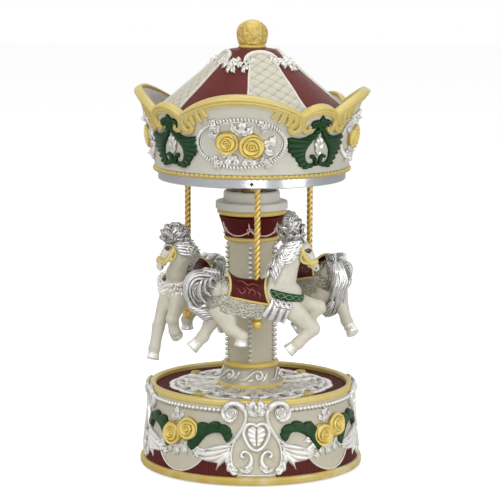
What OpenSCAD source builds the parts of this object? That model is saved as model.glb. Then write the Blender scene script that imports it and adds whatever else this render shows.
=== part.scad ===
// Wind-up music box in the form of a carousel with three horses.
// Millimetres, +Z up, origin at the centre of the underside. The front is -Y, and an azimuth is
// counted from the front towards +X.

/* [Base] */
// Radius of the foot band
base_r = 50; // [46:0.5:56]
// Radius of the drum just under the deck rim
drum_top_r = 45; // [42:0.5:46.5]
// Height of the deck rim above the table
base_h = 37.4; // [34:0.2:44]
// Height of the gold foot band's upper edge
foot_h = 3.9; // [3:0.1:5]
// Thickness of the drum wall under the rim
base_wall = 3; // [2:0.1:4]
// Thickness of the deck plate
deck_t = 3.5; // [2.5:0.1:4.5]
// Height of the gold rim ring
rim_h = 2.9; // [2:0.1:4]
// Width of the gold rim ring
rim_w = 2.8; // [2:0.1:3.4]
// How far the rubber feet stand out under the base
pad_out = 0.5; // [0.3:0.1:1.2]
// Radius of a rubber foot
pad_r = 2.2; // [1.6:0.1:2.4]
// Depth of the recess that holds the winding key
recess_h = 9; // [8.6:0.1:10]
// Thickness of the bottom cover
cover_t = 2; // [1.4:0.1:2.4]

/* [Column] */
// Radius of the hexagonal shaft at its corners
shaft_corner_r = 12.2; // [10.5:0.1:13.5]
// Height of the hexagonal shaft
shaft_h = 54.5; // [46:0.5:60]
// Height of the column foot above the deck
foot_casting_h = 10; // [8.5:0.1:12]
// Height of the fluted capital
capital_h = 9.9; // [8:0.1:12]
// Radius of the capital at its upper edge
capital_top_r = 15; // [13.5:0.1:17]
// Height of the ring between column foot and shaft
foot_ring_h = 2.5; // [2:0.1:3.2]
// Height of the ring under the capital
neck_ring_h = 1.8; // [1.2:0.1:2.5]
// Height of the ring over the capital
crown_ring_h = 2; // [1.2:0.1:2.6]
// Height of the collar on top of the column
collar_h = 8.4; // [7:0.1:10]
// Outer radius of the tube that the column castings are stacked on
tube_r = 4.8; // [4.2:0.1:5.4]
// Wall of that tube
tube_wall = 1.6; // [1:0.1:1.8]
// Azimuth of one corner of the hexagonal shaft
shaft_turn = -2; // [-30:1:30]

/* [Canopy] */
// Free height between the collar and the canopy floor
canopy_gap = 5.4; // [4:0.1:8]
// How far the chrome floor's edge stands in from the crown's foot
floor_inset = 0.85; // [0.4:0.05:1.4]
// Thickness of the canopy floor
floor_t = 4; // [3:0.1:5]
// Outer radius of the crown just over its bead ring
crown_r0 = 43.3; // [42.8:0.1:45]
// How far the crown flares outward up to its highest arch
crown_flare = 8.2; // [6:0.1:10]
// Height of the crown from the floor to its highest arch
crown_h = 36.5; // [33:0.5:40]
// Thickness of the crown wall
crown_wall = 2.4; // [1.8:0.1:2.8]
// Height of the gold bead ring under the crown
bead_ring_h = 2.1; // [1.6:0.1:2.6]
// Width of the gold band along the arches
edging_w = 4.4; // [3:0.1:5.5]
// How far the ornament stands out from the crown and the drum
relief = 1.3; // [0.8:0.1:1.8]
// Radius of the roof's flat top
roof_top_r = 10.4; // [9:0.1:12]
// Slope of the roof in degrees
roof_slope = 40.4; // [36:0.2:43]
// Thickness of the roof, measured upright
roof_t = 2.9; // [2:0.1:3.4]
// Height of the finial
finial_h = 12.6; // [10:0.1:15]
// Azimuth of the middle of one large crown panel
crown_turn = -6.5; // [-45:0.5:45]

/* [Horses] */
// Radius of the circle that the poles stand on
pole_ring_r = 32; // [31:0.25:33]
// Radius of a pole
pole_r = 1.18; // [1:0.02:1.4]
// Radius of the ball under a horse
ball_r = 2.47; // [2:0.05:3]
// Height of the middle horse's seat, with the cam at half lift
seat_mid = 87.3; // [84:0.1:92]
// Azimuth of the front pole
pole_turn = 4.5; // [-20:0.5:20]
// Lift of the cam to each side of its middle
lift = 3; // [1:0.1:4]
// Azimuth at which the cam is highest
cam_high = 85; // [0:5:355]

/* [Movement] */
// Radius of the spring housing
housing_r = 9.5; // [8.5:0.1:10]
// Height of the spring housing
housing_h = 8; // [7:0.1:8.4]
// Radius of the winding arbor
arbor_r = 1.5; // [1.2:0.1:1.8]
// Radius of the drive shaft
shaft_r = 2; // [1.6:0.1:2.6]
// Teeth of the great wheel
great_teeth = 48; // [48:12:48]
// Module of the great wheel and its pinions
gear_module = 0.58; // [0.54:0.01:0.58]
// Radius of the pinned cylinder
cylinder_r = 5; // [4:0.1:5.2]
// Length of the pinned cylinder
cylinder_l = 20; // [16:0.5:20.5]
// Number of comb teeth
comb_teeth = 18; // [10:1:18]
// Half of the key's width across its wings
key_span = 12; // [9:0.5:15]
// Thickness of the key's wings
key_t = 1.6; // [1:0.1:2.2]
// Thread radius of the screws
screw_r = 1; // [0.8:0.1:1.2]
// Length of a screw's shank
screw_l = 6; // [4:0.5:7]

/* [Fits] */
// Gap between cast pieces that sit inside each other
seat = 0.05; // [0.02:0.01:0.1]
// Radial clearance of shafts and poles in their bores
run = 0.06; // [0.02:0.01:0.09]
// Gap where two moving pieces pass each other
pass = 0.4; // [0.3:0.05:0.6]

/* [Hidden] */

// colours
cream = [0.80, 0.78, 0.73];
stone = [0.72, 0.70, 0.62];
gold = [0.86, 0.72, 0.34];
silver = [0.86, 0.87, 0.88];
burgundy = [0.42, 0.16, 0.18];
green = [0.14, 0.31, 0.18];
brass = [0.76, 0.62, 0.32];
steel = [0.66, 0.67, 0.69];

// base heights and radii
deck_z = base_h - rim_h;
drum_spread = base_r - 2.1 - drum_top_r;
drum_in_r = drum_top_r - base_wall;
band_in_r = base_r - 2.4;
cover_z = recess_h;
cover_top = cover_z + cover_t;
deck_under = deck_z - deck_t;
boss_r = 3;
boss_ring_r = drum_in_r - 4.5;
pad_margin = 0.6;
pad_ring_r = band_in_r - pad_r - pad_margin;
pad_socket = 0.8;
inlay_t = 0.7;
panel_steps = 8;
rose_r = 4.9;
rose_turn = 5.6;
rose_z = 21.2;

// column heights
foot_top = deck_z + foot_casting_h;
shaft_z = foot_top + foot_ring_h;
shaft_top = shaft_z + shaft_h;
capital_z = shaft_top + neck_ring_h;
capital_top = capital_z + capital_h;
collar_z = capital_top + crown_ring_h;
collar_top = collar_z + collar_h;
well_depth = 2.4;
well_z = collar_top - well_depth;
foot_flare_z = deck_z + 3;
foot_base_r = shaft_corner_r + 0.8;
foot_ring_r = foot_base_r + 2.2;
collar_r = capital_top_r - 2.4;
bead_r = 0.95;

// canopy heights and radii
floor_z = collar_top + canopy_gap;
floor_top = floor_z + floor_t;
crown_z = floor_top + bead_ring_h;
crown_foot_r = crown_r0 - 0.7;
edging_cap = 1.2;
crown_top = floor_top + crown_h;
flare_h = crown_top - crown_z;
flare_arc = (crown_flare * crown_flare + flare_h * flare_h) / (2 * crown_flare);
valley_z = crown_top - 8.5;
small_arch_z = crown_top - 4.7;
floor_r = crown_foot_r - floor_inset;
roof_z = crown_top - 13.9;
roof_edge_h = 2.5;
roof_r = crown_r(roof_z) - crown_wall - 0.2;
roof_top_z = roof_line(roof_top_r);
cap_r = 6.4;
cap_z = roof_top_z + 0.7;
hub_r = 5;
hub_h = 8;
hub_z = roof_top_z - 2 - hub_h;
tube_hole_r = tube_r + 2.7;
lattice_top_r = roof_top_r + 3;
roof_turn = crown_turn + 23.2;
lattice_w = 40;
nut_r = 3.4;
medal_z = floor_top + 15.6;
medal_a = 19.4;
medal_b = 11.4;
medal_rope = 1.6;
lyre_z = floor_top + 6.4;
volute_reach = 9;

// horses: pole positions, rest heights from the tilted cam, and travel
pole_az = [pole_turn, pole_turn - 120, pole_turn + 120];
function rest_lift(i) = lift * cos(pole_az[i] - cam_high);
function seat_z(i) = seat_mid + rest_lift(i);
collar_low_z = floor_top + 0.3;
pole_collar_h = 1.6;
pole_collar_r = 2.4;
track_r = 28;
cam_t = 1.6;
cam_z = collar_low_z + pole_collar_h + 2 * lift + 0.9;
cam_tilt = atan(lift / track_r);
pole_top_z = cam_z + lift + 4;
tube_top = cam_z + 3.4;
ball_drop = 19.3;

// movement
bed_z = cover_top + 3;
bed_t = 1.5;
bed_top = bed_z + bed_t;
housing_z = bed_top + 0.7;
housing_top = housing_z + housing_h;
wheel_t = 1.6;
wheel_z = housing_top + 0.1;
pitch_r = great_teeth * gear_module / 2;
crown_tooth_h = 1.1;
cylinder_pinion_teeth = 16;
wheel_pinion_teeth = 12;
worm_wheel_teeth = 24;
cylinder_pitch_r = cylinder_pinion_teeth * gear_module / 2 - 0.5;
cylinder_z = wheel_z - 0.8 - cylinder_pitch_r;
pinion_x = pitch_r - 2.6;
bracket_x = pitch_r + gear_module;
cylinder_x = bracket_x + 1.8;
axle_r = 0.7;
governor_y = pitch_r + wheel_pinion_teeth * gear_module / 2;
worm_wheel_r = 5.3;
bed_screws = [[8, -18], [-24, 0], [18, 16]];
worm_wheel_z = bed_top + 5;
worm_z = worm_wheel_z + 0.5;
worm_r = 1.2;
worm_y = governor_y + worm_wheel_r + worm_r + 0.1;
fly_x = -12;
comb_y = -(cylinder_r + 0.45 + pass);
comb_depth = 12.2;
comb_t = 0.7;
comb_z = cylinder_z - comb_t / 2;
comb_pitch = (cylinder_l - 1) / comb_teeth;
comb_x = cylinder_x + 0.5;
comb_screws = [comb_x + 4, comb_x + cylinder_l - 5];
block_y = comb_y - 7;
ratchet_z = cover_top + 1.2;
ratchet_r = 4.6;
key_z = 1.6;
key_h = 6;

// ---------- outlines that several pieces share ----------

// outer radius of the drum wall at height z
function drum_r(z) = drum_top_r + drum_spread * pow(max(0, deck_z - z) / (deck_z - foot_h), 1.5);
// outer radius of the crown wall at height z
function crown_r(z) = crown_r0 + flare_arc - sqrt(flare_arc * flare_arc - pow(max(0, z - crown_z), 2));
// height of the roof's outer surface at radius r
function roof_line(r) = roof_z + roof_edge_h + (roof_r - r) * tan(roof_slope);
// points of a wall outline from z0 to z1, offset outward by d
function drum_edge(z0, z1, n, d) = [for (i = [0:n]) let (z = z0 + (z1 - z0) * i / n) [drum_r(z) + d, z]];
function crown_edge(z0, z1, n, d) = [for (i = [0:n]) let (z = z0 + (z1 - z0) * i / n) [crown_r(z) + d, z]];
function reversed(a) = [for (i = [len(a) - 1:-1:0]) a[i]];

// a ring between two offsets of the drum wall
module drum_skin(z0, z1, d0, d1, n = 4) {
    rotate_extrude($fn = 96)
        polygon(concat(drum_edge(z0, z1, n, d1), reversed(drum_edge(z0, z1, n, d0))));
}

// a ring between two offsets of the crown wall
module crown_skin(z0, z1, d0, d1, n = 4) {
    rotate_extrude($fn = 96)
        polygon(concat(crown_edge(z0, z1, n, d1), reversed(crown_edge(z0, z1, n, d0))));
}

// a flat drawing, x across and y up, pushed out radially at an azimuth between two radii
module radial(azimuth, r0, r1) {
    rotate([0, 0, azimuth])
        translate([0, -r0, 0])
            rotate([90, 0, 0])
                linear_extrude(r1 - r0)
                    children();
}

// places children on a radial line, their own +Z pointing outward and tilted down
module facing_out(azimuth, r, z, tilt = 0) {
    rotate([0, 0, azimuth])
        translate([0, -r, z])
            rotate([90 + tilt, 0, 0])
                children();
}

module tube(r_out, r_in, z0, z1) {
    translate([0, 0, z0])
        difference() {
            cylinder(r = r_out, h = z1 - z0, $fn = 96);
            translate([0, 0, -1])
                cylinder(r = r_in, h = z1 - z0 + 2, $fn = 96);
        }
}

// an open scroll: part of a ring from angle a0 to a1 with a round eye at its end
module scroll(r, w, a0, a1, eye) {
    steps = 8;
    function arc(q) = [for (i = [0:steps]) let (a = a0 + (a1 - a0) * i / steps) [q * cos(a), q * sin(a)]];
    polygon(concat(arc(r + w / 2), reversed(arc(r - w / 2))));
    translate([r * cos(a1), r * sin(a1)])
        circle(r = eye, $fn = 12);
}

// an oval with half axes a and b
module oval(a, b) {
    polygon([for (t = [0:15:345]) [a * cos(t), b * sin(t)]]);
}

// a pointed leaf of length l and width w, from the origin along +x
module leaf(l, w) {
    edge = [for (t = [0:36:144]) [l * t / 180, w / 2 * sin(t)]];
    polygon(concat(edge, [[l, 0]], [for (p = reversed(edge)) if (p[1] > 0) [p[0], -p[1]]]));
}

// leaves of length l fanned from angle a0 to a1
module frond(l, w, a0, a1, n) {
    for (i = [0:n - 1])
        rotate(a0 + (a1 - a0) * i / (n - 1))
            leaf(l * (1 - 0.25 * abs(2 * i / (n - 1) - 1)), w);
}

// an open rose of radius r, its petals in three tiers
module rose(r) {
    rotate_extrude($fn = 48)
        polygon([[0, 0], [r, 0], [r, 0.45 * r], [0.8 * r, 0.55 * r], [0.72 * r, 0.5 * r],
            [0.6 * r, 0.68 * r], [0.46 * r, 0.6 * r], [0.3 * r, 0.74 * r], [0, 0.66 * r]]);
}

// a gear outline with n straight-sided teeth, narrower than their gaps
module gear_outline(n, module_size) {
    r = n * module_size / 2;
    root = r - 1.05 * module_size;
    tip = r + 0.8 * module_size;
    tooth = 360 / n;
    polygon([for (i = [0:n - 1], k = [[root, -0.27], [tip, -0.12], [tip, 0.12], [root, 0.27]])
        [k[0] * cos(tooth * (i + k[1])), k[0] * sin(tooth * (i + k[1]))]]);
}

// ---------- base ----------

module base_shell() {
    color(cream)
    difference() {
        union() {
            rotate_extrude($fn = 128)
                polygon(concat(
                    [[band_in_r - seat, pad_out], [band_in_r - seat, foot_h]],
                    drum_edge(foot_h, deck_z, panel_steps, 0),
                    [[tube_r + seat, deck_z], [tube_r + seat, deck_under],
                        [drum_in_r, deck_under], [drum_in_r, pad_out]]));
            for (a = [45:90:315])
                rotate([0, 0, a])
                    translate([0, -boss_ring_r, cover_top])
                        cylinder(r = boss_r, h = deck_under - cover_top + 0.5, $fn = 32);
        }
        for (a = [45:90:315])
            rotate([0, 0, a]) {
                translate([0, -boss_ring_r, cover_top - 1])
                    cylinder(r = screw_r + seat, h = screw_l, $fn = 24);
                translate([0, -pad_ring_r, pad_out - 1])
                    cylinder(r = pad_r + seat, h = 1 + pad_socket, $fn = 32);
            }
    }
}

module base_foot_band() {
    color(gold)
    rotate_extrude($fn = 128)
        polygon([[band_in_r, pad_out], [base_r - 0.8, pad_out], [base_r - 0.2, pad_out + 0.3],
            [base_r, pad_out + 0.9], [base_r, foot_h - 1], [base_r - 0.2, foot_h - 0.4],
            [base_r - 0.8, foot_h], [band_in_r, foot_h]]);
}

module deck_rim() {
    out_r = drum_top_r + 0.8;
    in_r = out_r - rim_w;
    color(gold)
    rotate_extrude($fn = 128)
        polygon([[in_r, deck_z], [out_r - 0.6, deck_z], [out_r, deck_z + 0.6], [out_r, base_h - 1],
            [out_r - 0.3, base_h - 0.3], [out_r - 1, base_h], [in_r + 0.8, base_h], [in_r, base_h - 0.7]]);
}

module deck_inlay() {
    color(burgundy)
    tube(drum_top_r + 0.8 - rim_w - seat, foot_ring_r + seat, deck_z, deck_z + inlay_t);
}

module deck_acanthus() {
    reach = drum_top_r - rim_w - 6;
    start = foot_ring_r + 0.6;
    color(silver)
    for (k = [0:3])
        rotate([0, 0, 3 + 90 * k - 90])
            translate([0, 0, deck_z + inlay_t])
                linear_extrude(1.2) {
                    translate([start, 0])
                        leaf(reach - start, 9);
                    for (s = [-1, 1]) {
                        translate([start + 1, 4 * s])
                            rotate(24 * s)
                                leaf(17, 6);
                        translate([start + 1, 8 * s])
                            rotate(52 * s)
                                leaf(12, 5);
                        translate([start + 12, 6.5 * s])
                            circle(r = 3.2, $fn = 24);
                    }
                }
}

module base_bead_string() {
    color(silver)
    rotate_extrude($fn = 128)
        translate([drum_r(deck_z - 1.6 - bead_r) + seat, deck_z - 1.6])
            intersection() {
                circle(r = bead_r, $fn = 24);
                translate([0, -2])
                    square([2, 4]);
            }
}

// one cartouche, drawn flat: x across from its middle, y the height on the drum
module cartouche() {
    for (s = [0, 1])
        mirror([s, 0]) {
            translate([10.9, deck_z - 4.2])
                scroll(2.5, 1.5, 330, 60, 1.1);
            translate([16.2, 23.4])
                scroll(12.2, 1.6, 142, 222, 0.9);
            translate([5.2, 12.2])
                scroll(2.3, 1.2, -60, 200, 0.9);
            translate([7.2, 14.6])
                rotate(-58)
                    leaf(11, 4.4);
            translate([8.4, 15.2])
                rotate(-28)
                    leaf(9.5, 3.6);
            translate([8.6, 16])
                rotate(2)
                    leaf(8.6, 3.2);
            translate([8.8, 9.5])
                rotate(-118)
                    leaf(6, 3);
        }
    translate([0, 27.5])
        frond(8.2, 3.4, 40, 140, 3);
    heart();
}

module heart() {
    translate([0, 20.6])
        polygon([[0, -5], [3.2, -1.8], [4.8, 1.2], [4.2, 3.6], [2.4, 4.3], [0.8, 3.6], [0, 2.4], [-0.8, 3.6],
            [-2.4, 4.3], [-4.2, 3.6], [-4.8, 1.2], [-3.2, -1.8]]);
}

// one floral swag under a pair of roses
module swag() {
    for (i = [-3:3])
        translate([3 * i, 12.4 + 0.24 * i * i])
            rotate(90 + 16 * i)
                leaf(5, 3.4);
    translate([0, 27.2])
        frond(4.6, 1.8, 40, 140, 3);
}

module base_scrollwork() {
    color(silver)
    intersection() {
        drum_skin(foot_h + 0.1, deck_z - 2.8, seat, relief, 2);
        difference() {
            base_scroll_room();
            rose_room();
        }
    }
}

// the burgundy ground between the lobed fields
module base_lower_panels() {
    color(burgundy)
    difference() {
        drum_skin(foot_h, 13, seat, 0.45, 2);
        for (k = [0:3]) {
            radial(3 + 90 * k, 30, 60)
                translate([0, 6])
                    square([17.5, 20], center = true);
            radial(48 + 90 * k, 30, 60)
                translate([0, 19.6])
                    circle(r = 15.4, $fn = 64);
        }
        base_scroll_room();
    }
}

// the space that the silver scrolls take out of the burgundy ground
module base_scroll_room() {
    for (k = [0:3]) {
        radial(3 + 90 * k, 30, 60)
            cartouche();
        radial(48 + 90 * k, 30, 60)
            swag();
    }
}

module base_roses() {
    color(gold) {
        for (k = [0:3], s = [-1, 1])
            facing_out(48 + 90 * k + rose_turn * s, drum_r(rose_z - rose_r) + seat, rose_z + 1.1 * s)
                rose(rose_r);
        for (k = [0:3])
            rotate([0, 0, 48 + 90 * k])
                translate([0, -(drum_top_r - rim_w - 8), deck_z + inlay_t])
                    rose(2.4);
    }
}

// one acanthus spray, drawn flat and arching from the roses towards the cartouche
module acanthus_arch() {
    translate([0, 17]) {
        scroll(8, 4, 40, 165, 2.2);
        for (a = [50:22:150])
            rotate(a)
                translate([8.5, 0])
                    circle(r = 2.1, $fn = 20);
    }
}

module base_leaves() {
    color(green)
    intersection() {
        drum_skin(foot_h + 4, deck_z - 3, seat, relief, 2);
        difference() {
            for (k = [0:3], s = [0, 1])
                radial(3 + 90 * k + 26 - 52 * s, 30, 60)
                    mirror([s, 0])
                        acanthus_arch();
            rose_room();
            base_scroll_room();
        }
    }
}

// the space that the roses take on the drum side
module rose_room() {
    for (k = [0:3], s = [-1, 1])
        facing_out(48 + 90 * k + rose_turn * s, drum_r(rose_z) - 4, rose_z + 1.1 * s)
            cylinder(r = rose_r + seat, h = 12, $fn = 48);
}

module bottom_cover() {
    color(steel)
    difference() {
        union() {
            translate([0, 0, cover_z])
                cylinder(r = drum_in_r - 0.3, h = cover_t, $fn = 96);
            for (p = bed_screws)
                translate([p[0], p[1], cover_top])
                    cylinder(r = 2.6, h = bed_z - cover_top, $fn = 32);
        }
        translate([0, 0, cover_z - 1])
            cylinder(r = arbor_r + 1.6, h = cover_t + 2, $fn = 48);
        for (a = [45:90:315])
            rotate([0, 0, a])
                translate([0, -boss_ring_r, cover_z - 1])
                    cylinder(r = screw_r + seat, h = cover_t + 2, $fn = 24);
        for (p = bed_screws)
            translate([p[0], p[1], bed_top - screw_l - seat])
                cylinder(r = screw_r + seat, h = screw_l + 1, $fn = 24);
    }
}

// one pan-head screw, its head resting at z = 0 and its shank below
module screw() {
    translate([0, 0, -screw_l])
        cylinder(r = screw_r, h = screw_l, $fn = 24);
    difference() {
        rotate_extrude($fn = 32)
            polygon([[0, 0], [2 * screw_r, 0], [2 * screw_r, 0.7 * screw_r], [1.5 * screw_r, 1.3 * screw_r],
                [0, 1.3 * screw_r]]);
        translate([-2 * screw_r - 1, -0.2, 0.7 * screw_r])
            cube([4 * screw_r + 2, 0.4, screw_r]);
    }
}

module screws() {
    color(steel) {
        for (a = [45:90:315])
            rotate([0, 0, a])
                translate([0, -boss_ring_r, cover_z])
                    rotate([180, 0, 0])
                        screw();
        for (p = bed_screws)
            translate([p[0], p[1], bed_top])
                screw();
        for (x = comb_screws)
            translate([x, block_y - 2.6, comb_z + comb_t])
                screw();
    }
}

module rubber_feet() {
    color([0.16, 0.16, 0.17])
    for (a = [45:90:315])
        rotate([0, 0, a])
            translate([0, -pad_ring_r, 0])
                cylinder(r = pad_r, h = pad_out + pad_socket - seat, $fn = 32);
}

// ---------- column ----------

module column_tube() {
    color(brass) {
        tube(tube_r, tube_r - tube_wall, deck_under - 1.5, tube_top);
        tube(tube_r + 3, tube_r - 0.5, deck_under - 1.5, deck_under);
    }
}

module column_foot() {
    color(cream)
    rotate_extrude($fn = 96)
        polygon([[tube_r + seat, deck_z], [foot_base_r, deck_z], [foot_base_r, foot_flare_z],
            [foot_base_r + 1.5, foot_flare_z], [foot_base_r + 0.9, foot_flare_z + 1.4],
            [shaft_corner_r + 0.4, foot_top - 2.4], [shaft_corner_r - 0.2, foot_top - 1],
            [shaft_corner_r - 0.2, foot_top], [tube_r + seat, foot_top]]);
}

// a round-edged gold ring between two radii
module gold_ring(r_out, r_in, z0, z1) {
    b = min(0.7, (z1 - z0) / 3);
    rotate_extrude($fn = 96)
        polygon([[r_in, z0], [r_out - b, z0], [r_out, z0 + b], [r_out, z1 - b], [r_out - b, z1], [r_in, z1]]);
}

module column_rings() {
    color(gold) {
        gold_ring(foot_ring_r, foot_base_r + seat, deck_z, foot_flare_z);
        gold_ring(shaft_corner_r + 0.3, tube_r + seat, foot_top, shaft_z);
        gold_ring(shaft_corner_r + 0.2, tube_r + seat, shaft_top, capital_z);
        gold_ring(capital_top_r + 0.5, tube_r + seat, capital_top, collar_z);
    }
}

// the six-sided prism of the shaft, grown by d
module shaft_prism(d, h) {
    rotate([0, 0, shaft_turn - 30])
        cylinder(r = shaft_corner_r - bead_r / 2 + d, h = h, $fn = 6);
}

module column_shaft() {
    color(stone)
    translate([0, 0, shaft_z])
        difference() {
            shaft_prism(0, shaft_h);
            translate([0, 0, -1])
                cylinder(r = tube_r + seat, h = shaft_h + 2, $fn = 96);
        }
}

module column_beads() {
    color(silver)
    translate([0, 0, shaft_z])
        difference() {
            for (k = [0:5])
                rotate([0, 0, shaft_turn + 60 * k])
                    translate([0, bead_r / 2 - shaft_corner_r, 0])
                        cylinder(r = bead_r, h = shaft_h, $fn = 24);
            translate([0, 0, -1])
                shaft_prism(seat, shaft_h + 2);
        }
}

// outer radius of the capital at height z
function capital_r(z) = shaft_corner_r - 0.2
    + (capital_top_r - shaft_corner_r + 0.2) * pow((z - capital_z) / capital_h, 1.3);

// points of the capital's outline, offset outward by d
function capital_edge(d) = [for (i = [0:panel_steps - 2])
    let (z = capital_z + capital_h * i / (panel_steps - 2)) [capital_r(z) + d, z]];

module capital() {
    color(burgundy)
    rotate_extrude($fn = 96)
        polygon(concat(capital_edge(0), [[tube_r + seat, capital_top], [tube_r + seat, capital_z]]));
}

module capital_swags() {
    hang = capital_z + 4.4;
    side = 6.4;
    color(silver)
    intersection() {
        rotate_extrude($fn = 96)
            polygon(concat(capital_edge(0.8), reversed(capital_edge(seat))));
        for (k = [0:5]) {
            radial(shaft_turn + 30 + 60 * k, 8, 20)
                translate([0, hang + side - 3.2])
                    scroll(side, 0.7, 210, 330, 0.5);
            radial(shaft_turn + 60 * k, 8, 20)
                translate([0, hang - 0.6])
                    frond(3.6, 1.2, 30, 150, 3);
        }
    }
}

module column_collar() {
    color(stone)
    rotate_extrude($fn = 96)
        polygon([[tube_r + seat, collar_z], [capital_top_r + 0.3, collar_z], [capital_top_r + 1.1, collar_z + 0.5],
            [capital_top_r + 1.1, collar_z + 3.2], [capital_top_r + 0.7, collar_z + 3.7],
            [collar_r, collar_z + 3.7], [collar_r, collar_top - 1], [collar_r - 0.3, collar_top - 0.3],
            [collar_r - 1, collar_top], [collar_r - 1.6, collar_top - 0.4], [collar_r - 1.6, well_z],
            [tube_r + seat, well_z]]);
}

module shaft_bearings() {
    color(silver)
    tube(collar_r - 1.8, tube_r + seat, well_z, well_z + 0.8);
    color(brass) {
        tube(tube_r - tube_wall - seat, shaft_r + run, deck_under - 1.5, deck_z);
        tube(tube_r - tube_wall - seat, shaft_r + run, tube_top - 6, tube_top);
    }
}

// the fixed swash ring that lifts the poles as the canopy turns
module cam_ring() {
    color(brass)
    difference() {
        union() {
            translate([0, 0, cam_z])
                rotate([0, 0, cam_high])
                    rotate([-cam_tilt, 0, 0])
                        translate([0, 0, -cam_t])
                            cylinder(r = track_r, h = cam_t, $fn = 96);
            translate([0, 0, cam_z - cam_t - 1])
                cylinder(r = tube_r + 3, h = 6, $fn = 64);
        }
        translate([0, 0, cam_z - 20])
            cylinder(r = tube_r + seat, h = 40, $fn = 64);
        for (k = [0:5])
            rotate([0, 0, 60 * k])
                translate([0, -(track_r + tube_r) / 2 - 1, cam_z - 20])
                    cylinder(r = 5.5, h = 40, $fn = 48);
    }
}

// ---------- movement ----------

module movement_bedplate() {
    color(steel)
    difference() {
        translate([0, 0, bed_z])
            linear_extrude(bed_t)
                intersection() {
                    circle(r = drum_in_r - 1.5, $fn = 96);
                    union() {
                        translate([-28, -20])
                            square([68, 40]);
                        translate([-21, 0])
                            square([33, worm_y + 4]);
                    }
                }
        translate([pinion_x - 0.7, -cylinder_r - pass, bed_z - 1])
            cube([cylinder_x + cylinder_l + 0.5 - pinion_x + 0.7, 2 * (cylinder_r + pass), bed_t + 2]);
        translate([0, 0, bed_z - 1])
            cylinder(r = arbor_r + run, h = bed_t + 2, $fn = 48);
        translate([0, governor_y, bed_z - 1])
            cylinder(r = axle_r + run, h = bed_t + 2, $fn = 32);
        for (p = bed_screws)
            translate([p[0], p[1], bed_z - 1])
                cylinder(r = screw_r + seat, h = bed_t + 2, $fn = 24);
        for (x = comb_screws)
            translate([x, block_y - 2.6, bed_z - 1])
                cylinder(r = screw_r + seat, h = bed_t + 2, $fn = 24);
    }
}

// an upright bearing plate across the x axis with a hole for an axle
module bearing_plate(x, y, z, half_w, t) {
    translate([x, y, 0])
        difference() {
            translate([0, -half_w, bed_top])
                cube([t, 2 * half_w, z + 2.6 - bed_top]);
            translate([-1, 0, z])
                rotate([0, 90, 0])
                    cylinder(r = axle_r + run, h = t + 2, $fn = 32);
        }
}

module movement_brackets() {
    post_x = worm_wheel_r + 1.4;
    color(brass) {
        bearing_plate(bracket_x, 0, cylinder_z, cylinder_r + 3, 1);
        bearing_plate(cylinder_x + cylinder_l + 0.7, 0, cylinder_z, cylinder_r + 3, 1.2);
        bearing_plate(6, worm_y, worm_z, 2, 1);
        bearing_plate(-19, worm_y, worm_z, 2, 1);
        // block under the comb
        difference() {
            translate([comb_x, block_y - 5.2, bed_top])
                cube([cylinder_l - 1, 5.2, comb_z - bed_top]);
            for (x = comb_screws)
                translate([x, block_y - 2.6, bed_top - 1])
                    cylinder(r = screw_r + seat, h = comb_z, $fn = 24);
        }
        // cock over the governor wheel
        difference() {
            union() {
                translate([post_x, governor_y - 2.5, bed_top])
                    cube([3.6, 5, wheel_z + wheel_t + 2.4 - bed_top]);
                translate([-2.5, governor_y - 2.5, wheel_z + wheel_t + 1.2])
                    cube([post_x + 3, 5, 1.2]);
            }
            translate([0, governor_y, bed_top])
                cylinder(r = axle_r + run, h = 30, $fn = 32);
        }
    }
}

module click_spring() {
    color(steel) {
        translate([-13, 4.6, ratchet_z])
            cube([4, 3.4, bed_z - ratchet_z]);
        translate([-9.5, ratchet_r + pass, ratchet_z + 0.1])
            cube([10, 0.4, 1]);
    }
}

module comb() {
    color(steel)
    translate([comb_x, 0, comb_z])
        difference() {
            translate([0, comb_y - comb_depth, 0])
                cube([cylinder_l - 1, comb_depth, comb_t]);
            for (i = [1:comb_teeth - 1])
                translate([comb_pitch * i - 0.15, comb_y - 6.2, -1])
                    cube([0.3, 7, comb_t + 2]);
            for (x = comb_screws)
                translate([x - comb_x, block_y - 2.6, -1])
                    cylinder(r = screw_r + seat, h = comb_t + 2, $fn = 24);
        }
}

module spring_housing() {
    color(brass)
    rotate_extrude($fn = 96)
        polygon([[arbor_r + run, housing_z], [housing_r, housing_z], [housing_r, housing_top],
            [3.4, housing_top], [3.4, housing_top + 4.8], [shaft_r + seat, housing_top + 4.8],
            [shaft_r + seat, housing_top - 0.8], [housing_r - 0.8, housing_top - 0.8],
            [housing_r - 0.8, housing_z + 0.8], [arbor_r + run, housing_z + 0.8]]);
}

module mainspring() {
    turns = 5;
    steps = 90;
    r0 = arbor_r + 1.3;
    r1 = housing_r - 1.2;
    strip = 0.35;
    function coil(q) = [for (i = [0:steps])
        let (a = 360 * turns * i / steps, r = r0 + (r1 - r0) * i / steps + q) [r * cos(a), r * sin(a)]];
    color(steel)
    translate([0, 0, housing_z + 1.1])
        linear_extrude(housing_h - 2.3)
            polygon(concat(coil(strip / 2), reversed(coil(-strip / 2))));
}

module great_wheel() {
    color(brass)
    difference() {
        union() {
            translate([0, 0, wheel_z])
                linear_extrude(wheel_t)
                    gear_outline(great_teeth, gear_module);
            for (i = [0:great_teeth - 1])
                rotate([0, 0, 360 / great_teeth * (i + 0.5)])
                    translate([pitch_r - 2.4, -0.35, wheel_z - crown_tooth_h])
                        cube([1.9, 0.7, crown_tooth_h + 0.1]);
        }
        translate([0, 0, wheel_z - 2])
            cylinder(r = 3.4 + seat, h = wheel_t + 4, $fn = 64);
    }
}

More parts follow.
